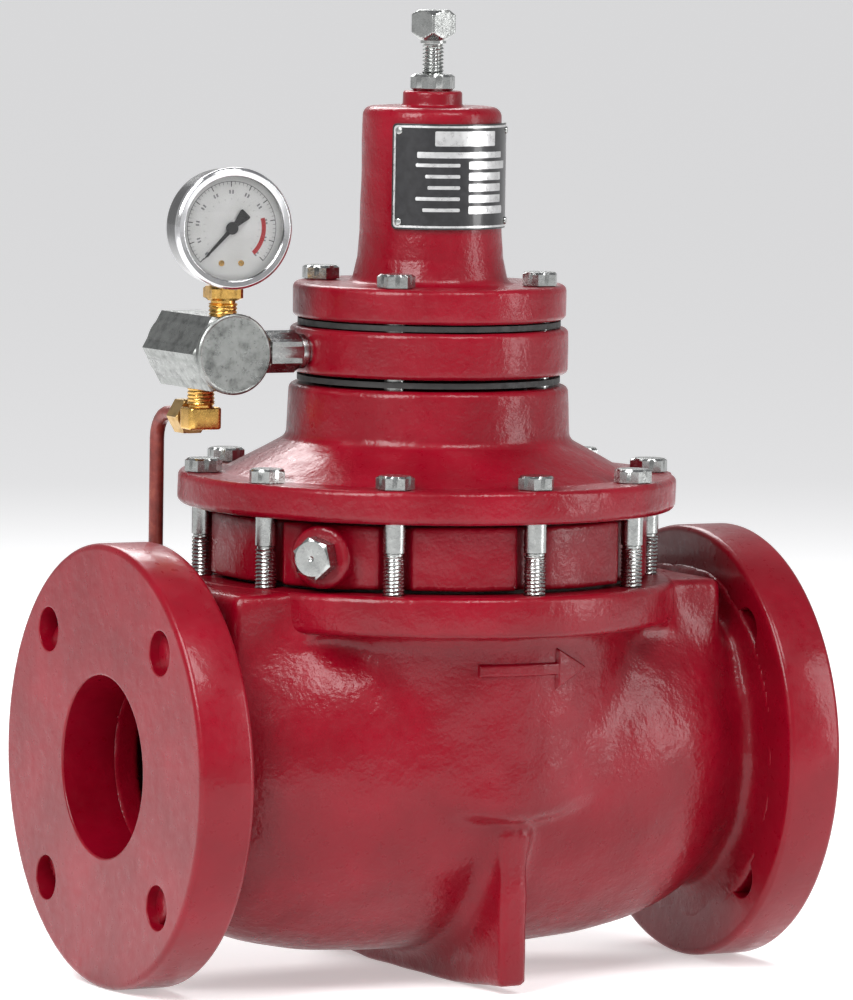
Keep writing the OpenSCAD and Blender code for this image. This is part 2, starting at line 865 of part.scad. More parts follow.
module body_connector() {
  color(brass) translate([stem_x - filter_reach, tube_y, tube_boss_top]) difference() {
    union() {
      hole(port_r, -12, 0.5);
      hex_bar(tube_hex, 8);
      hole(5, 0, 16);
    }
    hole(2.4, -13, 8);
    hole(tube_r + slip, 6, 17);
  }
}

module connector_nut() {
  color(brass) translate([stem_x - filter_reach, tube_y, tube_boss_top + 9]) tube_nut();
}

// ---------- assembly ----------

body();
seat_ring();
seat_o_ring();
disc_holder();
seat_disc();
ratio_plug();
stem();
stem_nut();
casing_gasket();
lower_casing();
port_plug();
stem_guide();
stem_o_ring();
main_diaphragm();
lower_diaphragm_plate();
upper_diaphragm_plate();
diaphragm_nut();
main_spring();
bonnet();
bonnet_screws();
pilot_seat();
pilot_cage();
pilot_plug();
pilot_plug_spring();
lower_pilot_diaphragm();
pilot_body();
upper_pilot_diaphragm();
pilot_hub();
lower_pilot_washer();
upper_pilot_plate();
hub_nut();
spring_housing();
pilot_screws();
adjusting_spring();
spring_button();
adjusting_screw();
lock_nut();
lock_nut_seal();
nameplate();
nameplate_rivets();
hex_nipple();
filter_body();
filter_cap();
filter_element();
gauge_socket();
gauge_case();
gauge_bezel();
gauge_window();
gauge_dial();
gauge_pointer();
gauge_dial_screws();
gauge_movement();
bourdon_tube();
tube_elbow();
elbow_nut();
supply_tube();
body_connector();
connector_nut();
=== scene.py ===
"""Looks of a pilot-operated pressure reducing valve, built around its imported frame.

Lengths are in millimetres in the text of a section and in metres in the meshes. The stem axis
is upright, the flow runs along +X, and the gauge, plate and arrow face -Y.
"""

import json
import math

import bpy
import numpy as np
from mathutils import Matrix, Vector
from mathutils.geometry import delaunay_2d_cdt


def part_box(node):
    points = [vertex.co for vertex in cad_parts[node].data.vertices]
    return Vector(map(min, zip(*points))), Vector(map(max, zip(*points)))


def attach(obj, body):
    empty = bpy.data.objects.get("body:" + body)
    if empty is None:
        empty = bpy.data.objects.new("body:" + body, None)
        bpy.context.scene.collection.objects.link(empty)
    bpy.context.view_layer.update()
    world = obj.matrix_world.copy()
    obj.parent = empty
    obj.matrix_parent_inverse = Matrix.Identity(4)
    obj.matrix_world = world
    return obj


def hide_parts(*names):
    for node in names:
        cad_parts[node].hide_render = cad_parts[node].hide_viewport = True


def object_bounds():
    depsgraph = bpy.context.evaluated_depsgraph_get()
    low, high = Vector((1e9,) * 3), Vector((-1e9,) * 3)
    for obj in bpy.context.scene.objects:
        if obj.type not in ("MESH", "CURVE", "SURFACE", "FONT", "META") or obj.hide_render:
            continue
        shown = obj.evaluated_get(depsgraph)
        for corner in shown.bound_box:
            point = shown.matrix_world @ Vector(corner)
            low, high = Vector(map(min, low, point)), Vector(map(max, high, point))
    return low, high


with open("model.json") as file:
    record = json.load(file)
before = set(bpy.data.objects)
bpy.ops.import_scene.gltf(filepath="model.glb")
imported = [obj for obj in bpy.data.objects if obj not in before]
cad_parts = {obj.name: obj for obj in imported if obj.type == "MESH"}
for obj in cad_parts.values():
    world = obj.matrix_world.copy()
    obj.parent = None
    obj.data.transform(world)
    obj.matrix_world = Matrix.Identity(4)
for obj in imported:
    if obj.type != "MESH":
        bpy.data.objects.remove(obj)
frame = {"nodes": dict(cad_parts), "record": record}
cad_box = [list(map(float, corner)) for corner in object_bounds()]

MM = 0.001


# ---------------------------------------------------------------------------
# Camera: a long lens a little above the valve, seen from its inlet side.
# ---------------------------------------------------------------------------
def box_mm(node):
    """Lowest and highest corner of a CAD node in millimetres."""
    low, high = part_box(node)
    return np.array(low) / MM, np.array(high) / MM


stem_low, stem_high = box_mm("stem")
STEM_X = (stem_low[0] + stem_high[0]) / 2
TURN, RISE, ROLL = math.radians(-28.2), math.radians(4.86), math.radians(0.85)
AIM = Vector((STEM_X * MM, 0, 0.10987))
right = Vector((math.cos(TURN), math.sin(TURN), 0))
back = Vector((math.sin(TURN) * math.cos(RISE), -math.cos(TURN) * math.cos(RISE), math.sin(RISE)))
up = back.cross(right)
leaned = right * math.cos(ROLL) + up * math.sin(ROLL)
lens = bpy.data.cameras.new("view_lens")
lens.sensor_fit = "HORIZONTAL"
lens.sensor_width = 36
lens.lens = 349.6
lens.clip_end = 100
camera = bpy.data.objects.new("view", lens)
bpy.context.scene.collection.objects.link(camera)
axes = Matrix((leaned, back.cross(leaned), back)).transposed().to_4x4()
camera.matrix_world = Matrix.Translation(AIM + back * 3.5918) @ axes
bpy.context.scene.camera = camera
bpy.context.scene.view_settings.view_transform = "Standard"


# ---------------------------------------------------------------------------
# Studio: a pale floor under the valve, a pale sky that is darker low down on
# two sides so that metal has something to mirror, and four soft lamps.
# ---------------------------------------------------------------------------
def mesh_object(name, points, faces, crease=None):
    """A mesh object of points in millimetres. Edges sharper than crease degrees stay sharp."""
    mesh = bpy.data.meshes.new(name)
    mesh.from_pydata((np.asarray(points, float) * MM).tolist(), [], [list(f) for f in faces])
    mesh.validate()
    mesh.update()
    mesh.polygons.foreach_set("use_smooth", [True] * len(mesh.polygons))
    if crease:
        mesh.set_sharp_from_angle(angle=math.radians(crease))
    made = bpy.data.objects.new(name, mesh)
    bpy.context.scene.collection.objects.link(made)
    return made


FLOOR_Z = cad_box[0][2] / MM
around = np.linspace(0, 2 * np.pi, 96, endpoint=False)
floor = mesh_object(
    "floor",
    np.c_[26000 * np.cos(around), 26000 * np.sin(around), np.full(96, FLOOR_Z - 0.05)],
    [range(96)],
)
paper = bpy.data.materials.new("floor_paper")
paper.use_nodes = True
paper_shader = paper.node_tree.nodes["Principled BSDF"]
paper_shader.inputs["Base Color"].default_value = (0.86, 0.86, 0.86, 1)
paper_shader.inputs["Roughness"].default_value = 0.85
paper_shader.inputs["Specular IOR Level"].default_value = 0.1
paper_shader.inputs["Emission Color"].default_value = (1, 1, 1, 1)
paper_shader.inputs["Emission Strength"].default_value = 0.42
floor.data.materials.append(paper)

sky = bpy.data.worlds.new("studio")
bpy.context.scene.world = sky
sky.use_nodes = True
sky_nodes, sky_links = sky.node_tree.nodes, sky.node_tree.links
sky_way = sky_nodes.new("ShaderNodeTexCoord")
sky_split = sky_nodes.new("ShaderNodeSeparateXYZ")
sky_ramp = sky_nodes.new("ShaderNodeValToRGB")
sky_links.new(sky_way.outputs["Generated"], sky_split.inputs[0])
sky_links.new(sky_split.outputs["Z"], sky_ramp.inputs["Fac"])
sky_ramp.color_ramp.elements[0].position = 0.0
sky_ramp.color_ramp.elements[0].color = (0.8, 0.8, 0.8, 1)
sky_ramp.color_ramp.elements[1].position = 0.75
sky_ramp.color_ramp.elements[1].color = (0.42, 0.42, 0.44, 1)
sky_links.new(sky_ramp.outputs["Color"], sky_nodes["Background"].inputs["Color"])
sky_nodes["Background"].inputs["Strength"].default_value = 0.62


def softbox(name, azimuth, elevation, distance, size, power):
    """A square lamp in metres and watts, placed by angle round the valve and aimed at its middle."""
    lamp = bpy.data.lights.new(name, "AREA")
    lamp.shape = "RECTANGLE"
    lamp.size, lamp.size_y = size
    lamp.energy = power
    turn, rise = math.radians(azimuth), math.radians(elevation)
    away = Vector((math.sin(turn) * math.cos(rise), -math.cos(turn) * math.cos(rise), math.sin(rise)))
    holder = bpy.data.objects.new(name, lamp)
    holder.location = AIM + away * distance
    holder.rotation_euler = away.to_track_quat("Z", "Y").to_euler()
    bpy.context.scene.collection.objects.link(holder)


softbox("key_lamp", -62, 38, 1.5, (0.7, 1.0), 26)
softbox("front_lamp", 8, 52, 1.7, (0.6, 0.6), 13)
softbox("side_lamp", 48, 14, 1.8, (0.5, 1.2), 12)
softbox("rim_lamp", 165, 40, 1.8, (1.0, 0.8), 20)


# ---------------------------------------------------------------------------
# Body: one iron casting. A globe with full shoulders lies along the flow, an
# upright barrel holds the seat, shoulders carry the joint face out to the
# pipe flanges, and a foot web crosses under the globe. Painted gloss crimson.
# ---------------------------------------------------------------------------
class Finish:
    """One procedural finish: a Principled shader and the nodes that feed it, in Object coordinates."""

    def __init__(self, name, **sockets):
        self.material = bpy.data.materials.new(name)
        self.material.use_nodes = True
        self.nodes = self.material.node_tree.nodes
        self.links = self.material.node_tree.links
        self.shader = self.nodes["Principled BSDF"]
        self.place = self.nodes.new("ShaderNodeTexCoord").outputs["Object"]
        for key, value in sockets.items():
            self.shader.inputs[key.replace("_", " ")].default_value = value

    def noise(self, size, detail=3.0, roughness=0.5, stretch=None):
        """Cloudy noise from 0 to 1 with features about size millimetres across."""
        node = self.nodes.new("ShaderNodeTexNoise")
        node.inputs["Scale"].default_value = 1000 / size
        node.inputs["Detail"].default_value = detail
        node.inputs["Roughness"].default_value = roughness
        self.links.new(self.stretched(stretch), node.inputs["Vector"])
        return node.outputs["Fac"]

    def cells(self, size, feature="F1", stretch=None):
        """Distance to the nearest of scattered points about size millimetres apart."""
        node = self.nodes.new("ShaderNodeTexVoronoi")
        node.feature = feature
        node.inputs["Scale"].default_value = 1000 / size
        self.links.new(self.stretched(stretch), node.inputs["Vector"])
        return node.outputs["Distance"]

    def stretched(self, stretch):
        """The Object coordinate, scaled by stretch on its three axes where that is given."""
        if stretch is None:
            return self.place
        node = self.nodes.new("ShaderNodeMapping")
        node.inputs["Scale"].default_value = stretch
        self.links.new(self.place, node.inputs["Vector"])
        return node.outputs["Vector"]

    def rings(self, size, centre, axis):
        """Tool marks: waves size millimetres apart in the distance from an axis through centre."""
        shift = self.nodes.new("ShaderNodeMapping")
        shift.inputs["Location"].default_value = [-c * MM for c in centre]
        flat = self.nodes.new("ShaderNodeVectorMath")
        flat.operation = "MULTIPLY"
        flat.inputs[1].default_value = [0.0 if i == axis else 1.0 for i in range(3)]
        span = self.nodes.new("ShaderNodeVectorMath")
        span.operation = "LENGTH"
        self.links.new(self.place, shift.inputs["Vector"])
        self.links.new(shift.outputs["Vector"], flat.inputs[0])
        self.links.new(flat.outputs["Vector"], span.inputs[0])
        turns = self.math("MULTIPLY", span.outputs["Value"], 2 * math.pi / (size * MM))
        return self.math("SINE", turns, 0)

    def math(self, operation, a, b):
        """One Math node on two sockets or numbers."""
        node = self.nodes.new("ShaderNodeMath")
        node.operation = operation
        for socket, value in zip(node.inputs, (a, b)):
            if isinstance(value, (int, float)):
                socket.default_value = value
            else:
                self.links.new(value, socket)
        return node.outputs[0]

    def levels(self, value, low, high, start=0.0, end=1.0):
        """Maps value from the range low..high to start..end, held at both ends."""
        node = self.nodes.new("ShaderNodeMapRange")
        node.inputs["From Min"].default_value = low
        node.inputs["From Max"].default_value = high
        node.inputs["To Min"].default_value = start
        node.inputs["To Max"].default_value = end
        self.links.new(value, node.inputs["Value"])
        return node.outputs["Result"]

    def tint(self, value, *stops):
        """A colour for each value: stops are (position, (r, g, b))."""
        node = self.nodes.new("ShaderNodeValToRGB")
        ramp = node.color_ramp.elements
        while len(ramp) < len(stops):
            ramp.new(0.5)
        for element, (position, colour) in zip(ramp, stops):
            element.position = position
            element.color = (*colour, 1)
        self.links.new(value, node.inputs["Fac"])
        return node.outputs["Color"]

    def set(self, socket, value):
        """Feeds a shader input from a node."""
        self.links.new(value, self.shader.inputs[socket])

    def bump(self, *layers):
        """Stacked bumps: each layer is (height socket, depth in millimetres)."""
        normal = None
        for height, depth in layers:
            node = self.nodes.new("ShaderNodeBump")
            node.inputs["Distance"].default_value = depth * MM
            self.links.new(height, node.inputs["Height"])
            if normal is not None:
                self.links.new(normal, node.inputs["Normal"])
            normal = node.outputs["Normal"]
        self.set("Normal", normal)
        coat = self.shader.inputs["Coat Normal"]
        self.links.new(normal, coat)


def enamel(name, grain, waves):
    """Gloss crimson enamel. grain is the depth of the fine sand texture, waves that of the coarse one."""
    paint = Finish(name, Roughness=0.34, Specular_IOR_Level=0.2, Coat_Weight=0.24, Coat_Roughness=0.1)
    cloud = paint.noise(38, 3)
    paint.set("Base Color", paint.tint(
        cloud, (0.3, (0.145, 0.0002, 0.0055)), (0.55, (0.18, 0.0003, 0.0075)),
        (0.75, (0.215, 0.0005, 0.01))))
    paint.set("Roughness", paint.levels(paint.noise(5, 4, 0.6), 0.3, 0.75, 0.24, 0.46))
    paint.bump((paint.noise(7.5, 2), waves), (paint.noise(1.5, 2, 0.6), grain))
    return paint.material


cast_paint = enamel("cast_enamel", 0.16, 0.5)
turned_paint = enamel("turned_enamel", 0.05, 0.2)


def piece(name, shape, body, finish, slot, *replaced, crease=None):
    """Puts a mesh of (points, faces) on a body, with its finish, and hides the nodes it replaces. slot is
    not used.
    """
    made = mesh_object(name, *shape, crease=crease)
    made.data.materials.append(finish)
    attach(made, body)
    if replaced:
        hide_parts(*replaced)
    return made


def at_stem(shape):
    """Moves a shape from the stem axis to its place in the row."""
    points, faces = shape
    return np.asarray(points) + [STEM_X, 0, 0], faces


def blend(a, b, width):
    """Smooth smaller of two distances: a fillet about width across joins the two solids."""
    near = np.clip(width - np.abs(a - b), 0, None) / width
    return np.minimum(a, b) - near * near * width / 4


def carve(a, b, width):
    """Smooth larger of two distances: what both solids share, with its edge rounded over width."""
    return -blend(-a, -b, width)


def block(x, y, z, centre, half, edge):
    """Distance to a box with rounded edges."""
    gaps = [np.abs(v - c) - h + edge for v, c, h in zip((x, y, z), centre, half)]
    outside = np.sqrt(sum(np.clip(g, 0, None) ** 2 for g in gaps))
    return outside + np.minimum(np.maximum(np.maximum(*gaps[:2]), gaps[2]), 0) - edge


def barrel_globe(x, rho, radius, reach, power=3.2):
    """Distance to a superellipse of revolution: (x / reach)^power + (rho / radius)^power = 1."""
    across, out = np.abs(x) / reach, rho / radius
    level = (across**power + out**power + 1e-12) ** (1 / power)
    slope = np.hypot(across ** (power - 1) / reach, out ** (power - 1) / radius) * level ** (1 - power)
    return (level - 1) / np.maximum(slope, 0.004)


def sand_waver(x, y, z):
    """Slow unevenness of a sand casting: a sum of crossed sine waves, about 0.2 mm each way."""
    return 0.09 * (
        np.sin(x / 4.1 + 1.3 * np.sin(z / 7)) + np.sin(y / 4.7 + z / 6.3) + np.sin(z / 3.9 - x / 9))


flange_low, flange_high = box_mm("body")
HALF = (flange_high[0] - flange_low[0]) / 2
ring_high = box_mm("lower_casing")[1]
BODY_TOP = box_mm("casing_gasket")[0][2]
FLANGE_R, FLANGE_T = 95.25, 25.4
TOP_FLANGE_R = (flange_high[1] - flange_low[1]) / 2
FLANGE_IN = HALF - FLANGE_T


def body_distance(x, y, z):
    """Signed distance to the casting without its flange rims, which are turned pieces of their own."""
    rho, radial = np.hypot(y, z), np.hypot(x, y)
    solid = barrel_globe(x, rho, 84.5, 140)
    chin = carve(radial - 92, np.hypot(x, z - 72) - 93, 9)
    solid = blend(solid, np.maximum(chin, z - 70), 5)
    shoulder = block(x, y, z, (0, 0, 37.6), (118, 53, 39.7), 5)
    solid = blend(solid, shoulder, 13)
    hub = np.maximum(rho - 79, np.abs(np.abs(x) - 140) - 10.4)
    solid = blend(solid, hub, 17)
    joint = np.maximum(radial - 104, np.abs(z - (BODY_TOP - 8.7)) - 8.4)
    solid = blend(solid, joint, 9)
    lift = 3.75 * np.clip((np.abs(y) - 40) / 45, 0, 1.2)
    foot = block(x, y, z - lift, (0, 0, -62.6), (6.4, 85, 32.65), 2.2)
    solid = blend(solid, foot, 10)
    boss = carve(np.hypot(x + 100, y - 62) - 11, np.abs(z - 35) - 25, 3)
    solid = blend(solid, boss, 7) + sand_waver(x, y, z)
    solid = carve(solid, np.where(np.abs(x) > FLANGE_IN + 0.4, rho - 79, z - BODY_TOP + 0.3), 1.5)
    room = carve(barrel_globe(x, rho, 75, 134), np.abs(x) - 118, 8)
    plate = block(x, y, z, (0, 0, 0), (46, 100, 6), 1)
    walls = np.minimum(
        block(x, y, z, (-42, 0, 50), (4, 100, 50), 1), block(x, y, z, (42, 0, -50), (4, 100, 50), 1))
    room = carve(room, -np.minimum(plate, walls), 3)
    bore = np.where(np.abs(x) < FLANGE_IN + 1.4, rho - 39, rho - 41)
    room = np.minimum(room, np.maximum(bore, 112 - np.abs(x)))
    neck = np.maximum(radial - 37.5, 12 - z)
    room = np.minimum(room, np.minimum(neck, np.maximum(radial - 33, np.abs(z) - 13)))
    return carve(solid, -room, 1.5)


def skinned(distance, low, high, step):
    """Surface where distance is zero: one point for each grid cell that the surface crosses, at the mean
    of the crossings on its edges, then three Newton steps along the gradient onto the surface."""
    spans = [np.arange(a, b + step, step) for a, b in zip(low, high)]
    grid = np.meshgrid(*spans, indexing="ij")
    field = distance(*grid)
    inside = field < 0
    shape = [len(s) - 1 for s in spans]
    total, count = np.zeros([*shape, 3]), np.zeros(shape)
    quads = []
    for axis in range(3):
        near = [slice(None)] * 3
        far = [slice(None)] * 3
        near[axis], far[axis] = slice(0, -1), slice(1, None)
        near, far = tuple(near), tuple(far)
        crossed = inside[near] != inside[far]
        cut = np.argwhere(crossed)
        start = field[near][crossed]
        share = start / (start - field[far][crossed])
        spot = np.stack([spans[i][cut[:, i]] for i in range(3)], 1)
        spot[:, axis] += share * step
        others = [i for i in range(3) if i != axis]
        corners = []
        for da, db in ((0, 0), (1, 0), (1, 1), (0, 1)):
            cell = cut.copy()
            cell[:, others[0]] -= da
            cell[:, others[1]] -= db
            corners.append(cell)
            np.add.at(total, tuple(cell.T), spot)
            np.add.at(count, tuple(cell.T), 1)
        flat = np.stack([np.ravel_multi_index(tuple(c.T), shape) for c in corners], 1)
        turned_over = inside[near][crossed] == (axis == 1)
        flat[turned_over] = flat[turned_over][:, ::-1]
        quads.append(flat)
    used = count.ravel() > 0
    points = total.reshape(-1, 3)[used] / count.ravel()[used][:, None]
    renumber = np.cumsum(used) - 1
    for _ in range(3):
        value = distance(*points.T)
        tiny = 0.02
        slope = np.stack([(distance(*(points + tiny * e).T) - value) / tiny for e in np.eye(3)], 1)
        reach = value[:, None] * slope / np.maximum((slope**2).sum(1), 0.05)[:, None]
        points -= np.clip(reach, -step / 2, step / 2)
    return points, renumber[np.concatenate(quads)].tolist()


STEP = 2.2
casting = skinned(body_distance, (-153, -112, -98), (153, 112, 82), STEP)
piece("body_casting", at_stem(casting), "housing", cast_paint, "enamel", "body")

# The two pipe flanges and the joint flange are turned from the same casting: flat faces with
# rounded rims and drilled bolt holes.


def rim(radius, x=0.0, y=0.0, count=128, outer=True):
    """A round edge loop as a function of its inset: an outer rim shrinks and a hole grows with it."""
    turn = np.linspace(0, 2 * np.pi, count, endpoint=False) * (1 if outer else -1)

    def loop(inset):
        size = radius - inset if outer else radius + inset
        return np.c_[x + size * np.cos(turn), y + size * np.sin(turn)]

    return loop


def panel(loops, depth, edges, spacing=None, hem=0.5):
    """A flat plate from z 0 to depth. Each loop is carried up the plate's edge: a quarter-round arc of
    its own edge radius at the bottom, a straight wall, and the same arc at the top, with a flat hem
    inside it. Both faces are filled with triangles between the loops."""
    points, faces, first, last = [], [], [], []
    total = 0
    for loop, edge in zip(loops, edges):
        arc = np.linspace(0, np.pi / 2, 5)
        inset = edge * (1 - np.sin(arc))
        height = edge * (1 - np.cos(arc))
        insets = np.r_[edge + hem, inset, inset[::-1], edge + hem]
        levels = np.r_[0, height, depth - height[::-1], depth]
        rings = [np.c_[loop(i), np.full(len(loop(i)), z)] for i, z in zip(insets, levels)]
        count = len(rings[0])
        index = total + np.arange(len(rings) * count).reshape(len(rings), count)
        points.append(np.concatenate(rings))
        ahead = np.roll(index, -1, axis=1)
        faces += np.stack([index[:-1], ahead[:-1], ahead[1:], index[1:]], -1).reshape(-1, 4).tolist()
        first.append(index[0])
        last.append(index[-1])
        total += index.size
    flat = np.concatenate(points)
    fill_ids, fill = filled([flat[i][:, :2] for i in last], spacing)
    bottom_map = np.concatenate(first)
    top_map = np.concatenate(last)
    spare = fill_ids[len(top_map):]
    extra = len(spare)
    low = np.c_[spare, np.zeros(extra)]
    high = np.c_[spare, np.full(extra, depth)]
    flat = np.concatenate([flat, low, high])
    bottom_map = np.r_[bottom_map, total + np.arange(extra)]
    top_map = np.r_[top_map, total + extra + np.arange(extra)]
    faces += top_map[fill].tolist() + bottom_map[fill[:, ::-1]].tolist()
    return flat, faces


def filled(loops, spacing):
    """Triangles between closed loops: a Delaunay net of the loops, with spare points on a square grid
    at the given spacing, less the triangles whose middle lies outside or in a hole."""
    base = np.concatenate(loops)
    edges, start = [], 0
    for loop in loops:
        ring = start + np.arange(len(loop))
        edges += np.stack([ring, np.roll(ring, -1)], 1).tolist()
        start += len(loop)
    net = base
    if spacing:
        low, high = loops[0].min(0), loops[0].max(0)
        spread = np.meshgrid(*[np.arange(a + spacing, b, spacing) for a, b in zip(low, high)])
        spare = np.stack([s.ravel() for s in spread], 1)
        gap = np.sqrt(((spare[:, None] - base[None]) ** 2).sum(2)).min(1)
        spare = spare[within(spare, loops) & (gap > spacing / 3)]
        net = np.concatenate([base, spare])
    found = delaunay_2d_cdt([Vector(p) for p in net], edges, [], 0, 1e-6)
    origin = np.array([ids[0] for ids in found[3]])
    triangles = origin[np.array(found[2])]
    middle = net[triangles].mean(1)
    return net, triangles[within(middle, loops)]


def within(spots, loops):
    """True where a spot lies inside an odd number of loops, by counting the edges to its right."""
    odd = np.zeros(len(spots), bool)
    for loop in loops:
        a, b = loop, np.roll(loop, -1, axis=0)
        x, y = spots[:, :1], spots[:, 1:]
        straddles = (a[:, 1] > y) != (b[:, 1] > y)
        rise = np.where(b[:, 1] == a[:, 1], 1, b[:, 1] - a[:, 1])
        crossing = a[:, 0] + (y - a[:, 1]) / rise * (b[:, 0] - a[:, 0])
        odd ^= (np.sum(straddles & (x < crossing), axis=1) % 2).astype(bool)
    return odd


def spun(count, radius, start=0.0):
    """Evenly spaced spots on a circle."""
    turn = np.radians(start) + np.arange(count) * 2 * np.pi / count
    return np.c_[radius * np.cos(turn), radius * np.sin(turn)]


def pipe_flange(sign, hole_r):
    """A pipe flange with its outer face at the end of the body, on side sign of the stem."""
    loops = [rim(FLANGE_R, count=192), rim(39, outer=False)]
    loops += [rim(hole_r, x, y, 40, outer=False) for x, y in spun(4, 76.2, 45)]
    points, faces = panel(loops, FLANGE_T, [2.6, 0.9] + [0.5] * 4)
    along = sign * (FLANGE_IN + points[:, 2])
    return np.c_[along, -sign * points[:, 0], points[:, 1]], [f[::-1] for f in faces]


for label, sign, hole_r in (("inlet", -1, 9.525), ("outlet", 1, 9.75)):
    piece(label + "_flange", at_stem(pipe_flange(sign, hole_r)), "housing", turned_paint, "enamel",
          crease=40)

joint_loops = [rim(TOP_FLANGE_R, count=240), rim(37.5, outer=False)]
joint_loops += [rim(4.85, x, y, 24, outer=False) for x, y in spun(10, 98, 90)]
joint_points, joint_faces = panel(joint_loops, 17.5, [3, 0.6] + [0.2] * 10)
joint_points = joint_points + [0, 0, BODY_TOP - 17.5]
piece("joint_flange", at_stem((joint_points, joint_faces)), "housing", cast_paint, "enamel", crease=40)


# ---------------------------------------------------------------------------
# Flow arrow: a low raised arrow cast on the front of the seat barrel.
# ---------------------------------------------------------------------------
def arrow_distance(u, v):
    """Distance in the plane to an arrow: a bar 5.4 high joined to a triangular head."""
    bar = np.maximum(np.abs(u + 7) - 19, np.abs(v) - 2.7)
    slant = (np.abs(v) * 17 + (u - 28) * 9) / math.hypot(17, 9)
    return np.minimum(bar, np.maximum(slant, 11 - u))


def flow_arrow():
    """A sheet on a cylinder: u runs round the barrel and v up it. The lift falls from 1.6 to below the
    surface over 1.6 mm round the arrow's outline; a second sheet behind closes it."""
    u, v = np.meshgrid(np.linspace(-32, 34, 133), np.linspace(-13, 13, 53), indexing="ij")
    share = np.clip(0.5 - arrow_distance(u, v) / 1.6, 0, 1)
    lift = -1.2 + 2.8 * share * share * (3 - 2 * share)
    sheets = []
    for reach in (92 + lift, np.full(u.shape, 90.0)):
        turn = np.radians(-90) + (u + 4) / 92
        sheets.append(np.stack([reach * np.cos(turn), reach * np.sin(turn), v + 45], -1).reshape(-1, 3))
    rows, columns = u.shape
    front = np.arange(u.size).reshape(rows, columns)
    rear = front + u.size
    quads = np.stack([front[:-1, :-1], front[1:, :-1], front[1:, 1:], front[:-1, 1:]], -1).reshape(-1, 4)
    behind = (quads + u.size)[:, ::-1]
    edge = np.r_[front[:-1, 0], front[-1, :-1], front[:0:-1, -1], front[0, :0:-1]]
    ahead = np.roll(edge, -1)
    side = np.stack([edge, edge + u.size, ahead + u.size, ahead], -1)
    return np.concatenate(sheets), quads.tolist() + behind.tolist() + side.tolist()


piece("flow_arrow", at_stem(flow_arrow()), "housing", cast_paint, "enamel")


# ---------------------------------------------------------------------------
# Lower casing: a cast ring between body and bonnet. Its rim is scalloped round
# the ten screws, and one boss takes the port plug.
# ---------------------------------------------------------------------------
RING_Z, RING_TOP = BODY_TOP + 1.5, ring_high[2]
PORT_TURN = math.radians(-144)
PORT_Z = (RING_Z + RING_TOP) / 2


def casing_distance(x, y, z):
    """A ring less ten scallops, blended to a boss that points outward, less its room and guide bore."""
    radial, turn = np.hypot(x, y), np.arctan2(y, x)
    pitch = 2 * np.pi / 10
    off = (turn - np.pi / 2 + pitch / 2) % pitch - pitch / 2
    scallop = 7.5 - np.hypot(radial * np.cos(off) - 98, radial * np.sin(off))
    slab = np.abs(z - (RING_Z + RING_TOP) / 2) - (RING_TOP - RING_Z) / 2
    ring = carve(carve(radial - 95.6, slab, 1.5), scallop, 1.5)
    along = x * math.cos(PORT_TURN) + y * math.sin(PORT_TURN)
    aside = np.hypot(-x * math.sin(PORT_TURN) + y * math.cos(PORT_TURN), z - PORT_Z)
    boss = carve(carve(aside - 13.4, along - 103, 2), 70 - along, 1)
    solid = carve(blend(ring, boss, 7), slab, 0.8) + 0.6 * sand_waver(x, y, z)
    spigot = np.maximum(radial - 37.3, np.abs(z - RING_Z) - 10)
    solid = np.minimum(solid, spigot)
    room = np.maximum(radial - 80, RING_Z + 13 - z)
    drilled = np.maximum(aside - 5.25, 60 - along)
    return carve(solid, -np.minimum(np.minimum(room, radial - 13.05), drilled), 0.8)


ring_step = 1.55
casing = skinned(casing_distance, (-108, -108, RING_Z - 12), (108, 108, RING_TOP + 3), ring_step)
piece("lower_casing", at_stem(casing), "housing", cast_paint, "enamel", "lower_casing")


# ---------------------------------------------------------------------------
# Port plug: a steel hex plug, bright zinc, with a turned cone on its end face.
# ---------------------------------------------------------------------------
def outline(*corners, closed=False):
    """A profile in r and z through the given corners (r, z, rounding). A rounded corner becomes an arc
    of seven points, tangent to both of its sides."""
    spots = np.array([c[:2] for c in corners], float)
    path = []
    for i, corner in enumerate(corners):
        size = corner[2] if len(corner) > 2 else 0
        if not size or (not closed and i in (0, len(corners) - 1)):
            path.append(spots[i][None])
            continue
        before, here, after = spots[i - 1], spots[i], spots[(i + 1) % len(spots)]
        a = (before - here) / np.linalg.norm(before - here)
        b = (after - here) / np.linalg.norm(after - here)
        half = math.acos(np.clip(a @ b, -1, 1)) / 2
        middle = here + (a + b) / np.linalg.norm(a + b) * size / math.sin(half)
        start, end = here + a * size / math.tan(half), here + b * size / math.tan(half)
        share = np.linspace(0, 1, 7)[:, None]
        sweep = math.pi - 2 * half
        arc = (np.sin((1 - share) * sweep) * (start - middle) + np.sin(share * sweep) * (end - middle))
        path.append(middle + arc / math.sin(sweep))
    return np.concatenate(path)


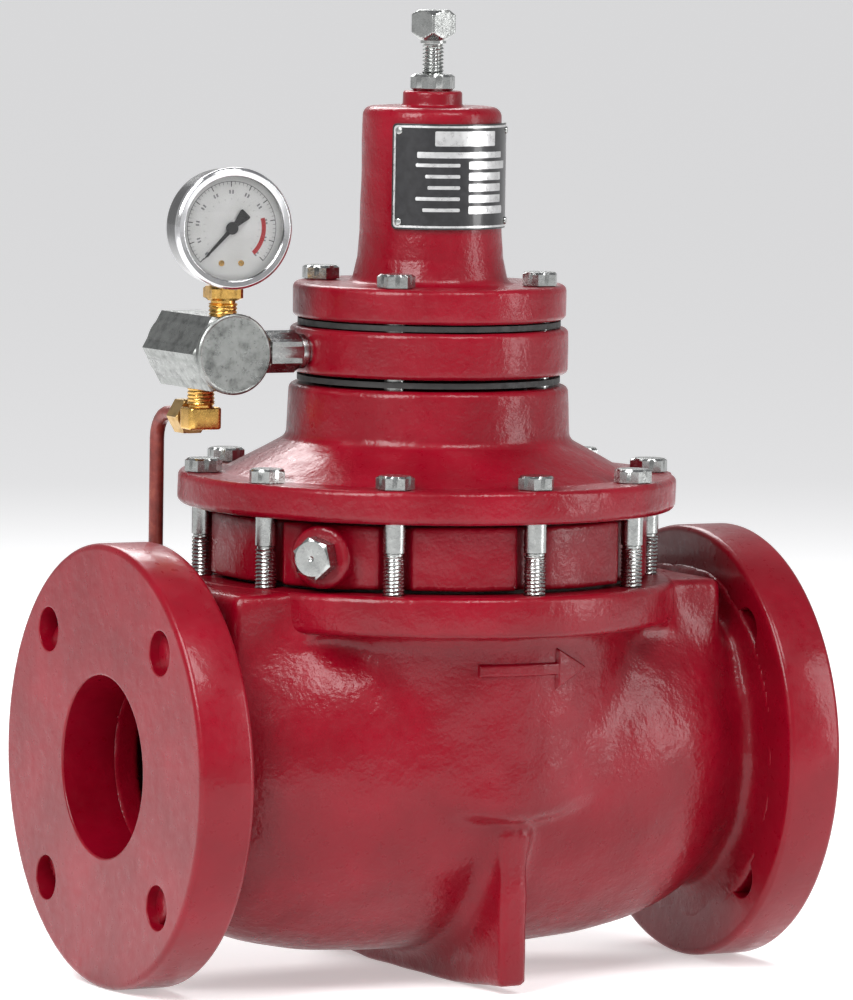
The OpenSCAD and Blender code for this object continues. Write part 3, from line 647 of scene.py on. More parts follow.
def turned(profile, steps=96, flats=None, sides=6, twist=0.0, closed=False, thread=None):
    """Profile points (r, z) carried round the z axis; an end at r 0 closes in a point. With flats given,
    the radius at each turn is no more than that of a regular polygon flats across. thread is (low, high,
    depth): between those levels a triangle wave that climbs one pitch a turn cuts into the radius."""
    turn = np.arange(steps) * 2 * np.pi / steps
    r, z = profile[:, 0][:, None], profile[:, 1][:, None]
    r = np.repeat(r, steps, 1)
    if flats:
        wedge = 2 * np.pi / sides
        off = (turn + wedge / 2) % wedge - wedge / 2
        r = np.minimum(r, flats / 2 / np.cos(off)[None])
    if thread:
        low, high, depth = thread
        climb = (z / 1.5875 - turn[None] / (2 * np.pi)) % 1
        r = r - depth * np.abs(2 * climb - 1) * ((z > low) & (z < high))
    angle = turn + math.radians(twist)
    grid = np.stack([r * np.cos(angle), r * np.sin(angle), np.repeat(z, steps, 1)], -1)
    index = np.arange(len(profile) * steps).reshape(-1, steps)
    if closed:
        index = np.concatenate([index, index[:1]])
    for row in (0, -1):
        if not closed and profile[row, 0] == 0:
            index[row] = index[row, 0]
    ahead = np.roll(index, -1, axis=1)
    quads = np.stack([index[:-1], ahead[:-1], ahead[1:], index[1:]], -1).reshape(-1, 4)
    faces = [list(dict.fromkeys(q)) for q in quads.tolist()]
    points = grid.reshape(-1, 3)
    return compact(points, [f for f in faces if len(f) > 2])


def compact(points, faces):
    """The same mesh without the points that no face uses."""
    used = np.unique(np.concatenate([np.array(f) for f in faces]))
    place = np.zeros(len(points), int)
    place[used] = np.arange(len(used))
    return points[used], [place[f].tolist() for f in faces]


def joined(*shapes):
    """Several shapes as one mesh."""
    points, faces, start = [], [], 0
    for p, f in shapes:
        points.append(p)
        faces += [[i + start for i in face] for face in f]
        start += len(p)
    return np.concatenate(points), faces


def placed(shape, origin=(0, 0, 0), towards=(0, 0, 1), roll=0.0):
    """The shape with its z axis along towards, turned by roll degrees about it, at origin."""
    points, faces = shape
    turn = Vector(towards).to_track_quat("Z", "Y").to_matrix() @ Matrix.Rotation(math.radians(roll), 3, "Z")
    return points @ np.array(turn).T + np.asarray(origin, float), faces


def plated(name, shade, rough, mottle):
    """Zinc plate on steel: faint blue-grey clouds, brushed grain and small scuffs. mottle scales them."""
    skin = Finish(name, Metallic=1.0)
    cloud = skin.noise(4.5, 4, 0.6)
    low, high = [c * (1 - 0.3 * mottle) for c in shade], [min(1, c * (1 + 0.12 * mottle)) for c in shade]
    skin.set("Base Color", skin.tint(cloud, (0.3, low), (0.5, shade), (0.72, high)))
    skin.set("Roughness", skin.levels(skin.noise(2.2, 5, 0.65), 0.3, 0.75, rough - 0.08, rough + 0.14))
    skin.bump((skin.noise(1.1, 3, 0.6), 0.05 * mottle), (skin.noise(0.35, 2), 0.02))
    return skin.material


bright_zinc = plated("bright_zinc", (0.42, 0.43, 0.42), 0.2, 0.7)
port_out = np.array([math.cos(PORT_TURN), math.sin(PORT_TURN), 0])
plug_profile = outline((0, -14), (5.2, -14, 0.5), (5.2, 0.2), (9.6, 0.2, 0.3), (9.6, 7.3, 0.4),
                       (7.4, 8, 0.5),
                       (1.2, 8.0, 0.5), (0, 7.2))
port_plug = placed(turned(plug_profile, 96, 15.9), port_out * 103 + [0, 0, PORT_Z], port_out, 12)
piece("port_plug", at_stem(port_plug), "housing", bright_zinc, "zinc_plate", "port_plug", crease=28)


# ---------------------------------------------------------------------------
# Bonnet: a cast cover with a flange, a cone and a neck. Ten spots on its cone
# are cut flat for the screw heads. Its room holds the main spring.
# ---------------------------------------------------------------------------
def refined(profile, gap):
    """The profile with extra points, so that no two neighbours are more than gap apart."""
    parts = []
    for a, b in zip(profile[:-1], profile[1:]):
        count = max(1, math.ceil(np.linalg.norm(b - a) / gap))
        parts.append(a + (b - a) * np.linspace(0, 1, count, endpoint=False)[:, None])
    return np.concatenate([*parts, profile[-1:]])


def cast(shape, depth=0.7):
    """The shape with the slow unevenness of a sand casting, moved out along its radius and up."""
    points, faces = shape
    x, y, z = points.T
    out = np.maximum(np.hypot(x, y), 1)
    push = depth * sand_waver(x, y, z)
    return np.c_[x * (1 + push / out), y * (1 + push / out), z + 0.5 * push], faces


bonnet_low, bonnet_high = box_mm("bonnet")
pilot_low, pilot_high = box_mm("pilot_body")
BONNET_Z = bonnet_low[2]
SCREW_SEAT = BONNET_Z + 14.3
LAND = 1.3
NECK_TOP = bonnet_high[2] - LAND
ROOF_Z = NECK_TOP - 11.8


def bonnet():
    """A closed profile turned round the stem, then cut flat within 10.5 of each screw axis."""
    profile = outline(
        (9, ROOF_Z), (47, ROOF_Z), (47, BONNET_Z + 30), (60, BONNET_Z + 22), (76, BONNET_Z + 10),
        (82, BONNET_Z + 3), (82, BONNET_Z), (TOP_FLANGE_R, BONNET_Z, 3.2), (TOP_FLANGE_R, SCREW_SEAT, 2.6),
        (89.5, SCREW_SEAT, 5), (61.5, BONNET_Z + 29.6, 5), (60.5, NECK_TOP, 3), (42, NECK_TOP),
        (42, bonnet_high[2]), (30, bonnet_high[2]), (30, ROOF_Z + 5), (9, ROOF_Z + 5), closed=True)
    profile = refined(np.r_[profile, profile[:1]], 2.2)[:-1]
    points, faces = cast(turned(profile, 480, closed=True))
    spots = spun(10, 98, 90)
    gap = np.sqrt(((points[:, None, :2] - spots[None]) ** 2).sum(2)).min(1)
    share = np.clip((11.2 - gap) / 1.1, 0, 1) * (points[:, 2] > SCREW_SEAT - 1)
    points[:, 2] -= share * (points[:, 2] - SCREW_SEAT)
    return points, faces


piece("bonnet", at_stem(bonnet()), "housing", cast_paint, "enamel", "bonnet")


# ---------------------------------------------------------------------------
# Bonnet screws: ten 3/8 inch hex cap screws, bright zinc, with a smooth shank,
# a run-out groove and a rolled thread that goes into the body.
# ---------------------------------------------------------------------------
HEX, HEAD_H, SHANK_R = 14.3, 6.1, 4.76


def cap_screw(length, smooth, twist, end_thread):
    """Head with a washer face and a 30 degree chamfer above its seat at z 0; the shank hangs below it."""
    head = outline((0, 0), (6.8, 0, 0.2), (7, 0.35), (8.4, 0.35), (8.4, HEAD_H - 0.95), (6.7, HEAD_H, 0.3),
                   (0, HEAD_H - 0.1))
    shank = outline((0, -length), (3.9, -length), (SHANK_R, -length + 1), (SHANK_R, -smooth - 1.6),
                    (4.05, -smooth - 1.3), (4.05, -smooth - 0.5), (SHANK_R, -smooth), (SHANK_R, 0.2),
                    (0, 0.2))
    rows = refined(shank, 0.265 if end_thread else 40)
    keep = (rows[:, 1] > -end_thread) | (rows[:, 1] < -length + 1.2)
    keep |= np.abs(rows[:, 1] + end_thread) < 0.3
    rows = rows[keep]
    run = (-end_thread, -smooth - 1.7, 0.62)
    return joined(turned(head, 72, HEX, twist=twist), turned(rows, 24, thread=run))


def screw_ring(count, radius, start, seat, length, smooth, end_thread, lean):
    """A ring of cap screws whose heads came to rest at different turns."""
    every = []
    for i, (x, y) in enumerate(spun(count, radius, start)):
        points, faces = cap_screw(length, smooth, lean * i + 30, end_thread)
        every.append((points + [x, y, seat], faces))
    return joined(*every)


LENGTH = SCREW_SEAT - BODY_TOP + 15
bonnet_screws = screw_ring(10, 98, 90, SCREW_SEAT, LENGTH, SCREW_SEAT - 95.6,
                           SCREW_SEAT - BODY_TOP + 1.5, 23)
piece("bonnet_screws", at_stem(bonnet_screws), "housing", bright_zinc, "zinc_plate", "bonnet_screws",
      crease=26)


# ---------------------------------------------------------------------------
# Pilot body: a cast disc between the two pilot diaphragms.
# ---------------------------------------------------------------------------
HOUSE_LOW, HOUSE_HIGH = box_mm("spring_housing")
LIP = 0.65
PILOT_Z, PILOT_TOP = pilot_low[2] + LAND, pilot_high[2] - LIP
pilot_profile = outline(
    (34, pilot_low[2]), (42, pilot_low[2]), (42, PILOT_Z), (60.3, PILOT_Z, 2.2), (60.3, PILOT_TOP, 2.4),
    (42, PILOT_TOP), (42, pilot_high[2]), (34, pilot_high[2]), closed=True)
pilot_profile = refined(np.r_[pilot_profile, pilot_profile[:1]], 2.5)[:-1]
pilot_disc = cast(turned(pilot_profile, 240, closed=True))
piece("pilot_body", at_stem(pilot_disc), "housing", cast_paint, "enamel", "pilot_body")


# ---------------------------------------------------------------------------
# Spring housing: a cast flange and a slightly tapered tower with a boss on
# top, tapped for the adjusting screw. Its bore holds the adjusting spring.
# ---------------------------------------------------------------------------
HOUSING_Z = HOUSE_LOW[2] + LIP
HOUSING_SEAT = HOUSING_Z + 15
SHOULDER = HOUSE_HIGH[2] - 6.7
housing_profile = outline(
    (24, HOUSE_LOW[2]), (42, HOUSE_LOW[2]), (42, HOUSING_Z), (59.2, HOUSING_Z, 2.2),
    (59.2, HOUSING_SEAT, 2.8),
    (34.2, HOUSING_SEAT, 4), (31.6, HOUSING_SEAT + 11, 8), (30.7, HOUSING_SEAT + 22, 8),
    (30, SHOULDER, 4.2),
    (13, SHOULDER, 1.5), (12.8, HOUSE_HIGH[2], 1.4), (4.85, HOUSE_HIGH[2]), (4.85, SHOULDER - 8.6),
    (24, SHOULDER - 8.6), closed=True)
housing_profile = refined(np.r_[housing_profile, housing_profile[:1]], 2.5)[:-1]
housing_shape = cast(turned(housing_profile, 240, closed=True))
piece("spring_housing", at_stem(housing_shape), "housing", cast_paint, "enamel", "spring_housing")


# ---------------------------------------------------------------------------
# Pilot screws: four long cap screws that clamp housing, pilot body and
# diaphragms to the bonnet.
# ---------------------------------------------------------------------------
pilot_screws = screw_ring(4, 49.5, 45, HOUSING_SEAT, HOUSING_SEAT - ROOF_Z - 1.5, 46, 52, 19)
piece("pilot_screws", at_stem(pilot_screws), "housing", bright_zinc, "zinc_plate", "pilot_screws",
      crease=26)


# ---------------------------------------------------------------------------
# Adjusting screw: a threaded rod with a forged square head, chamfered at both
# ends, and a hex lock nut below it. Both zinc plated.
# ---------------------------------------------------------------------------
screw_low, screw_high = box_mm("adjusting_screw")
HEAD_Z = screw_high[2] - 13.2
rod = refined(outline((0, screw_low[2]), (3.9, screw_low[2]), (SHANK_R, screw_low[2] + 1),
                      (SHANK_R, HEAD_Z - 2.2), (4.1, HEAD_Z - 2), (4.1, HEAD_Z - 1.6),
                      (5.6, HEAD_Z - 1.5, 0.4),
                      (5.6, HEAD_Z + 0.3), (0, HEAD_Z + 0.3)), 0.265)
head = outline((0, HEAD_Z), (5.6, HEAD_Z), (9.5, HEAD_Z + 3.5, 0.5), (9.5, screw_high[2] - 2.2, 0.5),
               (6.8, screw_high[2], 0.6), (0, screw_high[2] - 0.1))
thread_run = (screw_low[2] + 1, HEAD_Z - 2.2, 0.75)
adjusting_screw = joined(turned(rod, 32, thread=thread_run), turned(refined(head, 1.2), 96, 14, 4, 16.6))
piece("adjusting_screw", at_stem(adjusting_screw), "screw", bright_zinc, "zinc_plate",
      "adjusting_screw", crease=26)

nut_low, nut_high = box_mm("lock_nut")
lock_nut = outline((7.25, nut_low[2] + 0.9), (7.25, nut_low[2]), (8.3, nut_low[2], 0.2),
                   (10.2, nut_low[2] + 1.1),
                   (10.2, nut_high[2] - 1.1), (8.3, nut_high[2], 0.2), (5.4, nut_high[2]),
                   (4.84, nut_high[2] - 0.7), (4.84, nut_low[2] + 0.9), closed=True)
piece("lock_nut", at_stem(turned(lock_nut, 96, 17.5, twist=20, closed=True)), "nut", bright_zinc,
      "zinc_plate",
      "lock_nut", crease=26)


# ---------------------------------------------------------------------------
# Nameplate: a black aluminium sheet wrapped round the housing, with a bright
# border, blank bright fields and bars, held by four drive rivets.
# ---------------------------------------------------------------------------
plate_low, plate_high = box_mm("nameplate")
PLATE_R, PLATE_H = 31.35, plate_high[2] - plate_low[2]
PLATE_W = PLATE_R * math.radians(120)


def rounded_box(width, height, corner, x=0.0, y=0.0, outer=True):
    """A rectangle loop with arc corners as a function of its inset, centred on x, y."""
    turn = np.linspace(0, np.pi / 2, 5)
    signs = ((1, 1, 0), (-1, 1, 1), (-1, -1, 2), (1, -1, 3))

    def loop(inset):
        size = inset if outer else -inset
        bend = max(corner - size, 0.02)
        wide, high = width / 2 - size - bend, height / 2 - size - bend
        parts = [np.c_[x + a * wide + bend * np.cos(turn + q * np.pi / 2),
                       y + b * high + bend * np.sin(turn + q * np.pi / 2)] for a, b, q in signs]
        spots = np.concatenate(parts)
        count = [max(1, math.ceil(g / 1.5)) for g in np.linalg.norm(np.roll(spots, -1, 0) - spots, axis=1)]
        ahead = np.roll(spots, -1, 0)
        if inset == 0:
            loop.count = count
        dense = [a + (b - a) * np.linspace(0, 1, n, endpoint=False)[:, None]
                 for a, b, n in zip(spots, ahead, loop.count)]
        dense = np.concatenate(dense)
        return dense if outer else dense[::-1]

    loop(0)
    return loop


def wrapped(shape, lift):
    """A flat shape bent round the housing: its x becomes an arc, its y a height and its z a radius."""
    points, faces = shape
    turn = points[:, 0] / PLATE_R - np.pi / 2
    reach = PLATE_R + lift + points[:, 2]
    height = points[:, 1] + (plate_low[2] + plate_high[2]) / 2
    return np.c_[reach * np.cos(turn), reach * np.sin(turn), height], faces


plate_black = Finish("plate_black", Metallic=0.0, Roughness=0.3, Coat_Weight=0.3)
plate_black.set("Base Color", plate_black.tint(
    plate_black.noise(3, 4), (0.35, (0.006, 0.006, 0.007)), (0.7, (0.016, 0.016, 0.018))))
plate_black.bump((plate_black.noise(1.2, 3), 0.02), (plate_black.noise(9, 2), 0.12))
plate_silver = plated("plate_silver", (0.72, 0.72, 0.72), 0.3, 0.5)
sheet = panel([rounded_box(PLATE_W, PLATE_H, 2)], 0.8, [0.15], 2.6)
piece("nameplate", at_stem(wrapped(sheet, 0)), "housing", plate_black.material, "nameplate",
      "nameplate", crease=40)

marks = [panel([rounded_box(PLATE_W - 1.6, PLATE_H - 1.6, 1.6),
                rounded_box(PLATE_W - 3.4, PLATE_H - 3.4, 1.1, outer=False)], 0.06, [0.01, 0.01], 2.6, 0.1)]
bars = [(30, 6.4, 1, 16.4), (43, 2.6, 0, 9.4)]
rows = ((5.0, 19, 24), (0.2, 15, 20), (-4.6, 14, 20), (-9.4, 19, 20), (-14.2, 16, 22))
for level, label, field in rows:
    bars += [(label, 1.5, -3 - label / 2, level), (field, 3.3, 1 + field / 2, level)]
marks += [panel([rounded_box(w, h, 0.5, x, y)], 0.06, [0.01], 2.6, 0.1) for w, h, x, y in bars]
piece("nameplate_print", at_stem(wrapped(joined(*marks), 0.8)), "housing", plate_silver, "nameplate",
      crease=40)

rivet = turned(outline((0, -3), (1, -3), (1, 0.01), (1.75, 0.01, 0.1), (1.5, 0.75, 0.4), (0, 0.95)), 32)
rivets = []
for side in (-0.45, 0.45):
    turn = math.radians(-90 + side * 120)
    outward = np.array([math.cos(turn), math.sin(turn), 0])
    for level in (plate_low[2] + 3.2, plate_high[2] - 3.2):
        rivets.append(placed(rivet, outward * (PLATE_R + 0.8) + [0, 0, level], outward))
piece("nameplate_rivets", at_stem(joined(*rivets)), "housing", bright_zinc, "zinc_plate",
      "nameplate_rivets",
      crease=35)


# ---------------------------------------------------------------------------
# Supply filter: a drilled length of hex bar with a turned cap on its front end
# and dull, mottled zinc. A hex nipple joins it to the pilot body.
# ---------------------------------------------------------------------------
filter_low, filter_high = box_mm("filter_body")
FILTER = np.array([(filter_low[0] + filter_high[0]) / 2, 0, (filter_low[2] + filter_high[2]) / 2])
dull_zinc = plated("dull_zinc", (0.26, 0.27, 0.26), 0.3, 1.4)
front, rear = filter_low[1], filter_high[1]
bar = outline((0, rear - 6), (13, rear - 6), (13, front), (16.2, front), (18.7, front + 1.3),
              (18.7, rear - 1.6),
              (15.6, rear, 0.3), (0, rear))
piece("filter_body", placed(turned(bar, 96, 31.75, twist=30), FILTER, (0, 1, 0)), "housing", dull_zinc,
      "zinc_cast", "filter_body", crease=26)
cap = refined(outline((0, -5), (12.9, -5), (12.9, 0.02), (17.4, 0.02, 0.5), (17.4, 2.6, 0.5),
                      (16.5, 3.3, 0.4),
                      (15.9, 3.0, 0.4), (0, 2.9)), 2)
piece("filter_cap", placed(turned(cap, 96), FILTER + [0, front, 0], (0, -1, 0)), "housing", dull_zinc,
      "zinc_cast", "filter_cap", crease=35)

nipple_low, nipple_high = box_mm("hex_nipple")
start, end = nipple_low[0] - FILTER[0], nipple_high[0] - FILTER[0]
nipple = joined(
    turned(refined(outline((0, start), (6.4, start), (6.4, 16.4), (5.6, 17), (5.6, 18.6), (6.5, 19),
                           (6.5, end),
                           (0, end)), 0.6), 32),
    turned(outline((0, 18.8), (7, 18.8), (9.4, 20), (9.4, 34.4), (7.6, 35.6), (0, 35.6)), 96, 15.9,
           twist=0),
    turned(outline((0, 35.5), (7.5, 35.5, 0.3), (7.5, 38.2, 0.5), (6.6, 39.2), (0, 39.2)), 48))
piece("hex_nipple", placed(nipple, FILTER, (1, 0, 0), 0), "housing", bright_zinc, "zinc_plate",
      "hex_nipple",
      crease=26)


# ---------------------------------------------------------------------------
# Pressure gauge: a black pressed case on a square brass socket, a chrome bezel,
# a flat window, a white dial with a red band, and a black pointer.
# ---------------------------------------------------------------------------
window_low, window_high = box_mm("gauge_window")
GAUGE_Z = (window_low[2] + window_high[2]) / 2
GAUGE = np.array([FILTER[0], 0, GAUGE_Z])
FACE = np.array([math.sin(math.radians(-7)), -math.cos(math.radians(-7)), 0])
DIAL_D = 10.3


def on_dial(shape):
    """A shape made facing +Z, placed so that it faces out of the dial."""
    return placed(shape, GAUGE, FACE)


case_black = Finish("case_black", Roughness=0.2, Coat_Weight=0.6, Coat_Roughness=0.06)
case_black.set("Base Color", case_black.tint(
    case_black.noise(6, 4), (0.35, (0.004, 0.004, 0.005)), (0.7, (0.012, 0.012, 0.014))))
case_black.bump((case_black.noise(7, 2), 0.1), (case_black.noise(0.8, 2), 0.01))
case = outline((0, -6), (24.9, -6, 3.4), (24.9, -4 + 2.4), (24.9, DIAL_D - 0.6, 0.4), (24.4, DIAL_D - 0.5),
               (24.4, 11.3), (23.4, 11.3), (23.4, -4.8), (0, -4.8))
piece("gauge_case", on_dial(turned(refined(case, 3), 128)), "housing", case_black.material, "gauge_black",
      "gauge_case", crease=35)

chrome = Finish("bezel_chrome", Metallic=1.0)
chrome.set("Base Color", chrome.tint(chrome.noise(5, 3), (0.3, (0.62, 0.62, 0.63)),
                                     (0.7, (0.75, 0.75, 0.76))))
chrome.set("Roughness", chrome.levels(chrome.noise(1.6, 4, 0.6), 0.3, 0.75, 0.07, 0.2))
chrome.bump((chrome.noise(6, 2), 0.03))
bezel = outline((24.5, DIAL_D), (25.6, DIAL_D - 0.3, 0.3), (26.1, DIAL_D + 0.6, 0.4), (26.1, 13.2, 0.7),
                (24.9, 14, 0.5), (22.6, 13.6, 0.4), (22.2, 12.85), (24.5, 12.85), closed=True)
piece("gauge_bezel", on_dial(turned(bezel, 128, closed=True)), "housing", chrome.material, "chrome",
      "gauge_bezel", crease=40)

pane = Finish("gauge_glass", Roughness=0.02, Transmission_Weight=1.0, IOR=1.45)
pane.set("Roughness", pane.levels(pane.noise(9, 3), 0.4, 0.8, 0.0, 0.04))
window = turned(outline((0, 11.6), (24.3, 11.6, 0.2), (24.3, 12.8, 0.2), (0, 12.8)), 96)
piece("gauge_window", on_dial(window), "housing", pane.material, "glass", "gauge_window", crease=35)

dial_white = Finish("dial_white", Roughness=0.5)
dial_white.set("Base Color", dial_white.tint(
    dial_white.noise(12, 3), (0.35, (0.80, 0.80, 0.78)), (0.7, (0.88, 0.88, 0.87))))
dial_white.bump((dial_white.noise(0.9, 2), 0.01))
dial = outline((1.6, DIAL_D - 1.6), (23.2, DIAL_D - 1.6), (23.2, DIAL_D - 1, 0.1),
               (1.6, DIAL_D - 1, 0.1), closed=True)
piece("gauge_dial", on_dial(turned(dial, 96, closed=True)), "housing", dial_white.material, "dial_white",
      "gauge_dial", crease=40)


def bars_round(count, first, last, inner, outer, width):
    """Thin radial boxes, evenly spaced from the angle first to the angle last, on the dial."""
    turn = np.radians(np.linspace(first, last, count))[:, None]
    corner = np.array([(inner, -1), (outer, -1), (outer, 1), (inner, 1)])
    along, across = corner[:, 0][None], corner[:, 1][None] * width / 2
    x = along * np.cos(turn) - across * np.sin(turn)
    y = along * np.sin(turn) + across * np.cos(turn)
    low = np.stack([x, y, np.full(x.shape, DIAL_D - 1.02)], -1)
    high = low + [0, 0, 0.05]
    points = np.concatenate([low, high], 1).reshape(-1, 3)
    box = np.array([(3, 2, 1, 0), (4, 5, 6, 7), (0, 1, 5, 4), (1, 2, 6, 5), (2, 3, 7, 6), (3, 0, 4, 7)])
    return points, (np.arange(count)[:, None, None] * 8 + box[None]).reshape(-1, 4).tolist()


def sector(inner, outer, first, last, steps=40):
    """A thin flat band from angle first to last: a rectangle carried round, closed by its two ends."""
    turn = np.radians(np.linspace(first, last, steps))[:, None]
    r = np.array([inner, outer, outer, inner])[None]
    z = np.repeat(np.array([[-1.02, -1.02, -0.96, -0.96]]) + DIAL_D, steps, 0)
    points = np.stack([r * np.cos(turn), r * np.sin(turn), z], -1).reshape(-1, 3)
    index = np.arange(steps * 4).reshape(steps, 4)
    ahead = np.roll(index, -1, axis=1)
    quads = np.stack([index[:-1], ahead[:-1], ahead[1:], index[1:]], -1).reshape(-1, 4)[:, ::-1]
    return points, quads.tolist() + [index[0].tolist(), index[-1, ::-1].tolist()]


ink = Finish("dial_ink", Roughness=0.6)
ink.set("Base Color", ink.tint(ink.noise(2, 3), (0.3, (0.02, 0.02, 0.022)), (0.7, (0.045, 0.045, 0.05))))
grey_ink = Finish("dial_grey_ink", Roughness=0.6)
grey_ink.set("Base Color", grey_ink.tint(grey_ink.noise(2, 3), (0.3, (0.2, 0.2, 0.21)),
                                         (0.7, (0.28, 0.28, 0.29))))
red_ink = Finish("dial_red_ink", Roughness=0.55)
red_ink.set("Base Color", red_ink.tint(red_ink.noise(2, 3), (0.3, (0.5, 0.01, 0.015)),
                                       (0.7, (0.62, 0.02, 0.025))))
fine = joined(bars_round(51, 226, -44, 18.6, 19.9, 0.16), bars_round(11, 226, -44, 17.6, 19.9, 0.38),
              sector(19.75, 19.95, -44, 226, 90))
piece("gauge_scale", on_dial(fine), "housing", ink.material, "pointer_black", crease=40)
soft_marks = joined(bars_round(11, 228.5, -41.5, 14.6, 16.2, 0.7),
                    bars_round(11, 223.5, -46.5, 14.6, 16.2, 0.7),
                    bars_round(21, 226, -44, 12.0, 12.7, 0.14))
piece("gauge_marks", on_dial(soft_marks), "housing", grey_ink.material, "pointer_black", crease=40)
piece("gauge_red_band", on_dial(sector(13.5, 15.4, -47, 17)), "housing", red_ink.material,
      "pointer_black", crease=40)

needle_black = Finish("needle_black", Roughness=0.4)
needle_black.set("Base Color", needle_black.tint(
    needle_black.noise(3, 3), (0.3, (0.006, 0.006, 0.006)), (0.7, (0.014, 0.014, 0.015))))
needle_black.bump((needle_black.noise(1, 2), 0.01))
blade = np.array([(-9, -2.3), (-8.2, -2.7), (-2, -1.1), (2, -0.9), (15.5, -0.4), (18.6, 0), (15.5, 0.4),
                  (2, 0.9),
                  (-2, 1.1), (-8.2, 2.7), (-9, 2.3)])


def blade_loop(inset):
    """The pointer's outline, drawn in towards its middle line by inset."""
    return blade * (1 - inset / np.array([12.0, 3.0]))


needle = panel([blade_loop], 0.5, [0.1])
hub = turned(outline((0, 2), (0.9, 2), (0.9, DIAL_D - 0.4), (2.7, DIAL_D - 0.4, 0.1),
                     (2.6, DIAL_D + 0.55, 0.4),
                     (0, DIAL_D + 0.8)), 48)
tilt = np.array(Matrix.Rotation(math.radians(226), 3, "Z"))
needle = (needle[0] + [0, 0, DIAL_D - 0.25]) @ tilt.T, needle[1]
piece("gauge_pointer", on_dial(joined(needle, hub)), "pointer", needle_black.material, "pointer_black",
      "gauge_pointer", crease=35)


def brassy(name, shade, rough):
    """Machined brass: a warm cloud of tarnish and fine tool marks."""
    metal = Finish(name, Metallic=1.0)
    tarnish = metal.noise(4, 4, 0.6)
    dark = [c * 0.72 for c in shade]
    metal.set("Base Color", metal.tint(tarnish, (0.3, dark), (0.5, shade),
                                       (0.75, [min(1, c * 1.12) for c in shade])))
    metal.set("Roughness", metal.levels(metal.noise(1.8, 4, 0.6), 0.3, 0.75, rough - 0.06, rough + 0.14))
    metal.bump((metal.noise(0.8, 3, 0.6), 0.03), (metal.noise(5, 2), 0.08))
    return metal.material


brass = brassy("machined_brass", (0.72, 0.43, 0.12), 0.24)
dial_screw = outline((0, DIAL_D - 1), (1.3, DIAL_D - 1), (1.25, DIAL_D - 0.5, 0.15), (0, DIAL_D - 0.4))
dial_screws = joined(*[(turned(dial_screw, 24)[0] + [x, -14.8, 0],
                        turned(dial_screw, 24)[1]) for x in (-4.4, 4.4)])
piece("gauge_dial_screws", on_dial(dial_screws), "housing", brass, "brass", "gauge_dial_screws", crease=35)

neck = refined(outline((0, 12.5), (5.2, 12.5), (6.0, 15), (6.35, 21), (5.3, 21.4), (5.3, 22.6),
                       (0, 22.6)), 0.265)
square = outline((0, 22.5), (6.6, 22.5), (9.0, 23.6), (9.0, 27.5), (7.6, 28.5), (0, 28.5))
stalk = outline((0, 28.3), (5.2, 28.3, 0.2), (5.0, 31), (0, 31))
socket = joined(turned(neck, 32, thread=(15.2, 21, 0.6)), turned(square, 96, 14.3, 4), turned(stalk, 48))
lug = panel([rounded_box(10, 8, 0.6)], 9.5, [0.4])
lug = placed(lug, GAUGE - [0, 0, 25.5], (0, 0, 1), -7)
piece("gauge_socket", joined(placed(socket, FILTER, (0, 0, 1), -7), lug), "housing", brass, "brass",
      "gauge_socket", crease=26)


# ---------------------------------------------------------------------------
# Supply tube: a brass elbow under the filter, a compression nut, a thin copper
# tube painted red-brown, and a connector in a boss on the body's inlet side.
# ---------------------------------------------------------------------------
ELBOW = np.array([FILTER[0], 20, FILTER[2] - 29.4])
neck = refined(outline((0, 4), (5.2, 4), (5.2, 5.6), (6.1, 6.2), (5.8, 15.4), (0, 15.4)), 0.265)
collar = panel([rounded_box(15.4, 12, 2.2)], 9.6, [1.1])
collar = collar[0] - [0, 0, 4.8], collar[1]
spout = placed(turned(outline((0, 0), (5, 0), (5, 15), (0, 15)), 32), (0, 0, 0), (0, 1, 0))
elbow = joined(turned(neck, 32, thread=(6.4, 15, 0.5)), collar, spout)
piece("tube_elbow", (elbow[0] + ELBOW, elbow[1]), "housing", brass, "brass", "tube_elbow", crease=30)

worn_brass = brassy("worn_brass", (0.50, 0.33, 0.13), 0.34)
tube_nut = outline((5.05, 0), (7.4, 0, 0.2), (8.4, 0.7), (8.4, 9.6), (6.4, 11, 0.3), (3.25, 11), (3.25, 8),
                   (5.05, 8), closed=True)
tube_nut = turned(tube_nut, 96, 14.3, closed=True)
piece("elbow_nut", placed(tube_nut, ELBOW + [0, 7, 0], (0, 1, 0), 30), "housing", worn_brass, "brass",
      "elbow_nut",
      crease=26)

connector_low, connector_high = box_mm("body_connector")
PORT = np.array([FILTER[0], (connector_low[1] + connector_high[1]) / 2, connector_low[2] + 12])
fitting = joined(
    turned(outline((0, -12), (5.2, -12), (5.2, 0.1), (0, 0.1)), 32),
    turned(outline((0, 0), (7, 0), (8.4, 0.8), (8.4, 7.2), (7, 8), (0, 8)), 96, 14.3, twist=30),
    turned(outline((3.24, 7), (5, 7), (5, 16), (3.24, 16), closed=True), 32, closed=True))
piece("body_connector", (fitting[0] + PORT, fitting[1]), "housing", brass, "brass", "body_connector",
      crease=26)
piece("connector_nut", placed(tube_nut, PORT + [0, 0, 9], (0, 0, 1), 30), "housing", worn_brass, "brass",
      "connector_nut", crease=26)


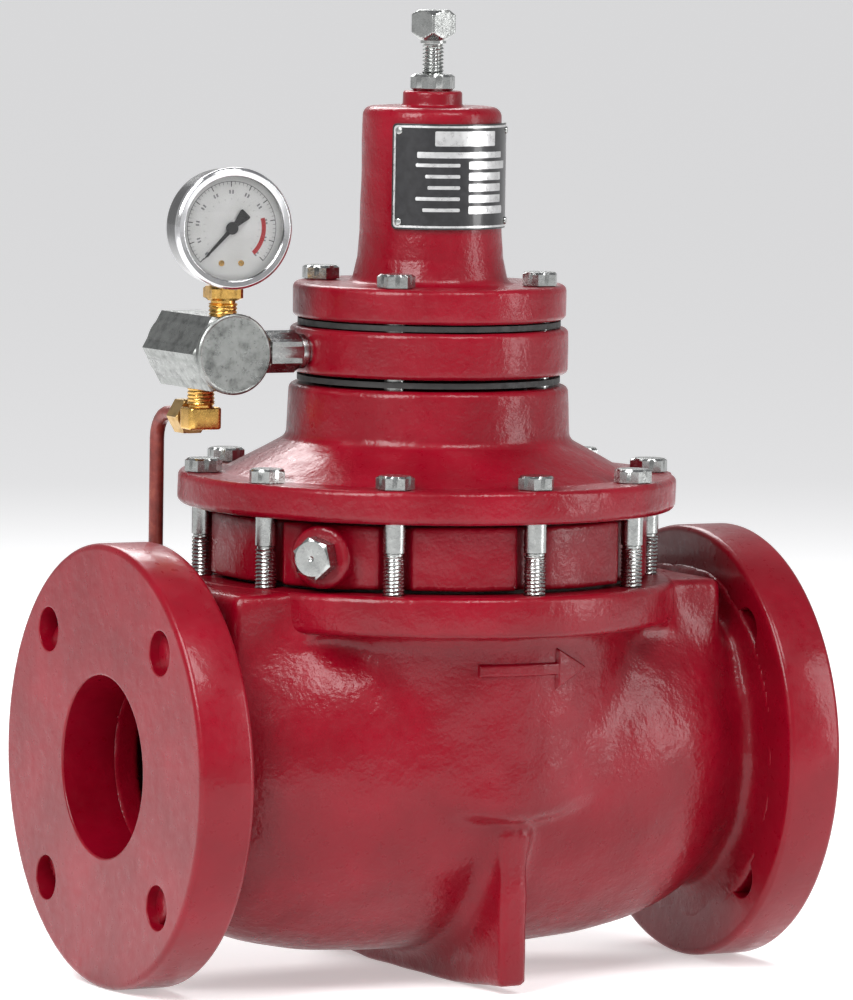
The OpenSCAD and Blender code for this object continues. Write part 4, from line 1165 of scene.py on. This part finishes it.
def piped(path, radius, sides=32):
    """A circle carried along a path in a plane of constant x, closed at both ends by a point."""
    ahead = np.gradient(path, axis=0)
    ahead /= np.linalg.norm(ahead, axis=1)[:, None]
    side = np.array([1.0, 0, 0])
    normal = np.cross(ahead, side)
    turn = np.arange(sides) * 2 * np.pi / sides
    ring = np.cos(turn)[None, :, None] * side + np.sin(turn)[None, :, None] * normal[:, None]
    points = (path[:, None] + radius * ring).reshape(-1, 3)
    index = np.arange(len(points)).reshape(-1, sides)
    step = np.roll(index, -1, axis=1)
    quads = np.stack([index[:-1], step[:-1], step[1:], index[1:]], -1).reshape(-1, 4)
    return points, quads.tolist() + [index[0, ::-1].tolist(), index[-1].tolist()]


BEND = 12
tube_run = outline((30.5, ELBOW[2]), (PORT[1], ELBOW[2], BEND), (PORT[1], PORT[2] + 6.6))
tube_run = refined(tube_run, 2)
route = np.c_[np.full(len(tube_run), PORT[0]), tube_run]
tube_paint = Finish("tube_paint", Metallic=0.25, Roughness=0.38, Coat_Weight=0.2)
tube_paint.set("Base Color", tube_paint.tint(
    tube_paint.noise(6, 4, 0.6), (0.3, (0.11, 0.016, 0.012)), (0.55, (0.20, 0.032, 0.024)),
    (0.8, (0.30, 0.075, 0.045))))
tube_paint.set("Roughness", tube_paint.levels(tube_paint.noise(2, 4), 0.3, 0.7, 0.28, 0.5))
tube_paint.bump((tube_paint.noise(5, 2), 0.12), (tube_paint.noise(1, 3), 0.03))
piece("supply_tube", piped(route, 3.175), "housing", tube_paint.material, "tube_paint", "supply_tube",
      crease=50)


# ---------------------------------------------------------------------------
# Rubber, springs and the parts inside: their CAD shapes stay, with a finish by
# material. Turned steel, drawn wire, moulded rubber, fibre and woven wire.
# ---------------------------------------------------------------------------
rubber = Finish("moulded_rubber", Roughness=0.6)
rubber.set("Base Color", rubber.tint(rubber.noise(5, 4), (0.3, (0.006, 0.006, 0.006)),
                                     (0.7, (0.02, 0.019, 0.018))))
rubber.set("Roughness", rubber.levels(rubber.noise(2.5, 3), 0.3, 0.7, 0.45, 0.75))
rubber.bump((rubber.noise(1.2, 3), 0.08), (rubber.noise(9, 2), 0.3))
fibre = Finish("pressed_fibre", Roughness=0.85)
fibre.set("Base Color", fibre.tint(fibre.noise(1.5, 5, 0.7), (0.3, (0.03, 0.027, 0.024)),
                                   (0.7, (0.09, 0.08, 0.07))))
fibre.bump((fibre.noise(0.7, 4, 0.7), 0.1))
turned_steel = plated("turned_steel", (0.46, 0.46, 0.47), 0.26, 0.5)
spring_wire = plated("spring_wire", (0.2, 0.2, 0.215), 0.36, 1.0)
woven = Finish("woven_wire", Metallic=1.0, Roughness=0.4)
woven.set("Base Color", woven.tint(woven.cells(0.9), (0.1, (0.55, 0.55, 0.53)), (0.6, (0.16, 0.16, 0.15))))
woven.bump((woven.cells(0.9), 0.2))

finishes = {"rubber": rubber.material, "gasket": fibre.material, "steel": turned_steel,
            "spring_steel": spring_wire,
            "screen": woven.material, "brass": brass, "zinc_plate": bright_zinc}
slot_of = {part["node"]: part["material_slot"] for part in frame["record"]["subparts"]}
for name, node in frame["nodes"].items():
    if not node.hide_render and slot_of[name] in finishes:
        for holder in node.material_slots:
            holder.material = finishes[slot_of[name]]
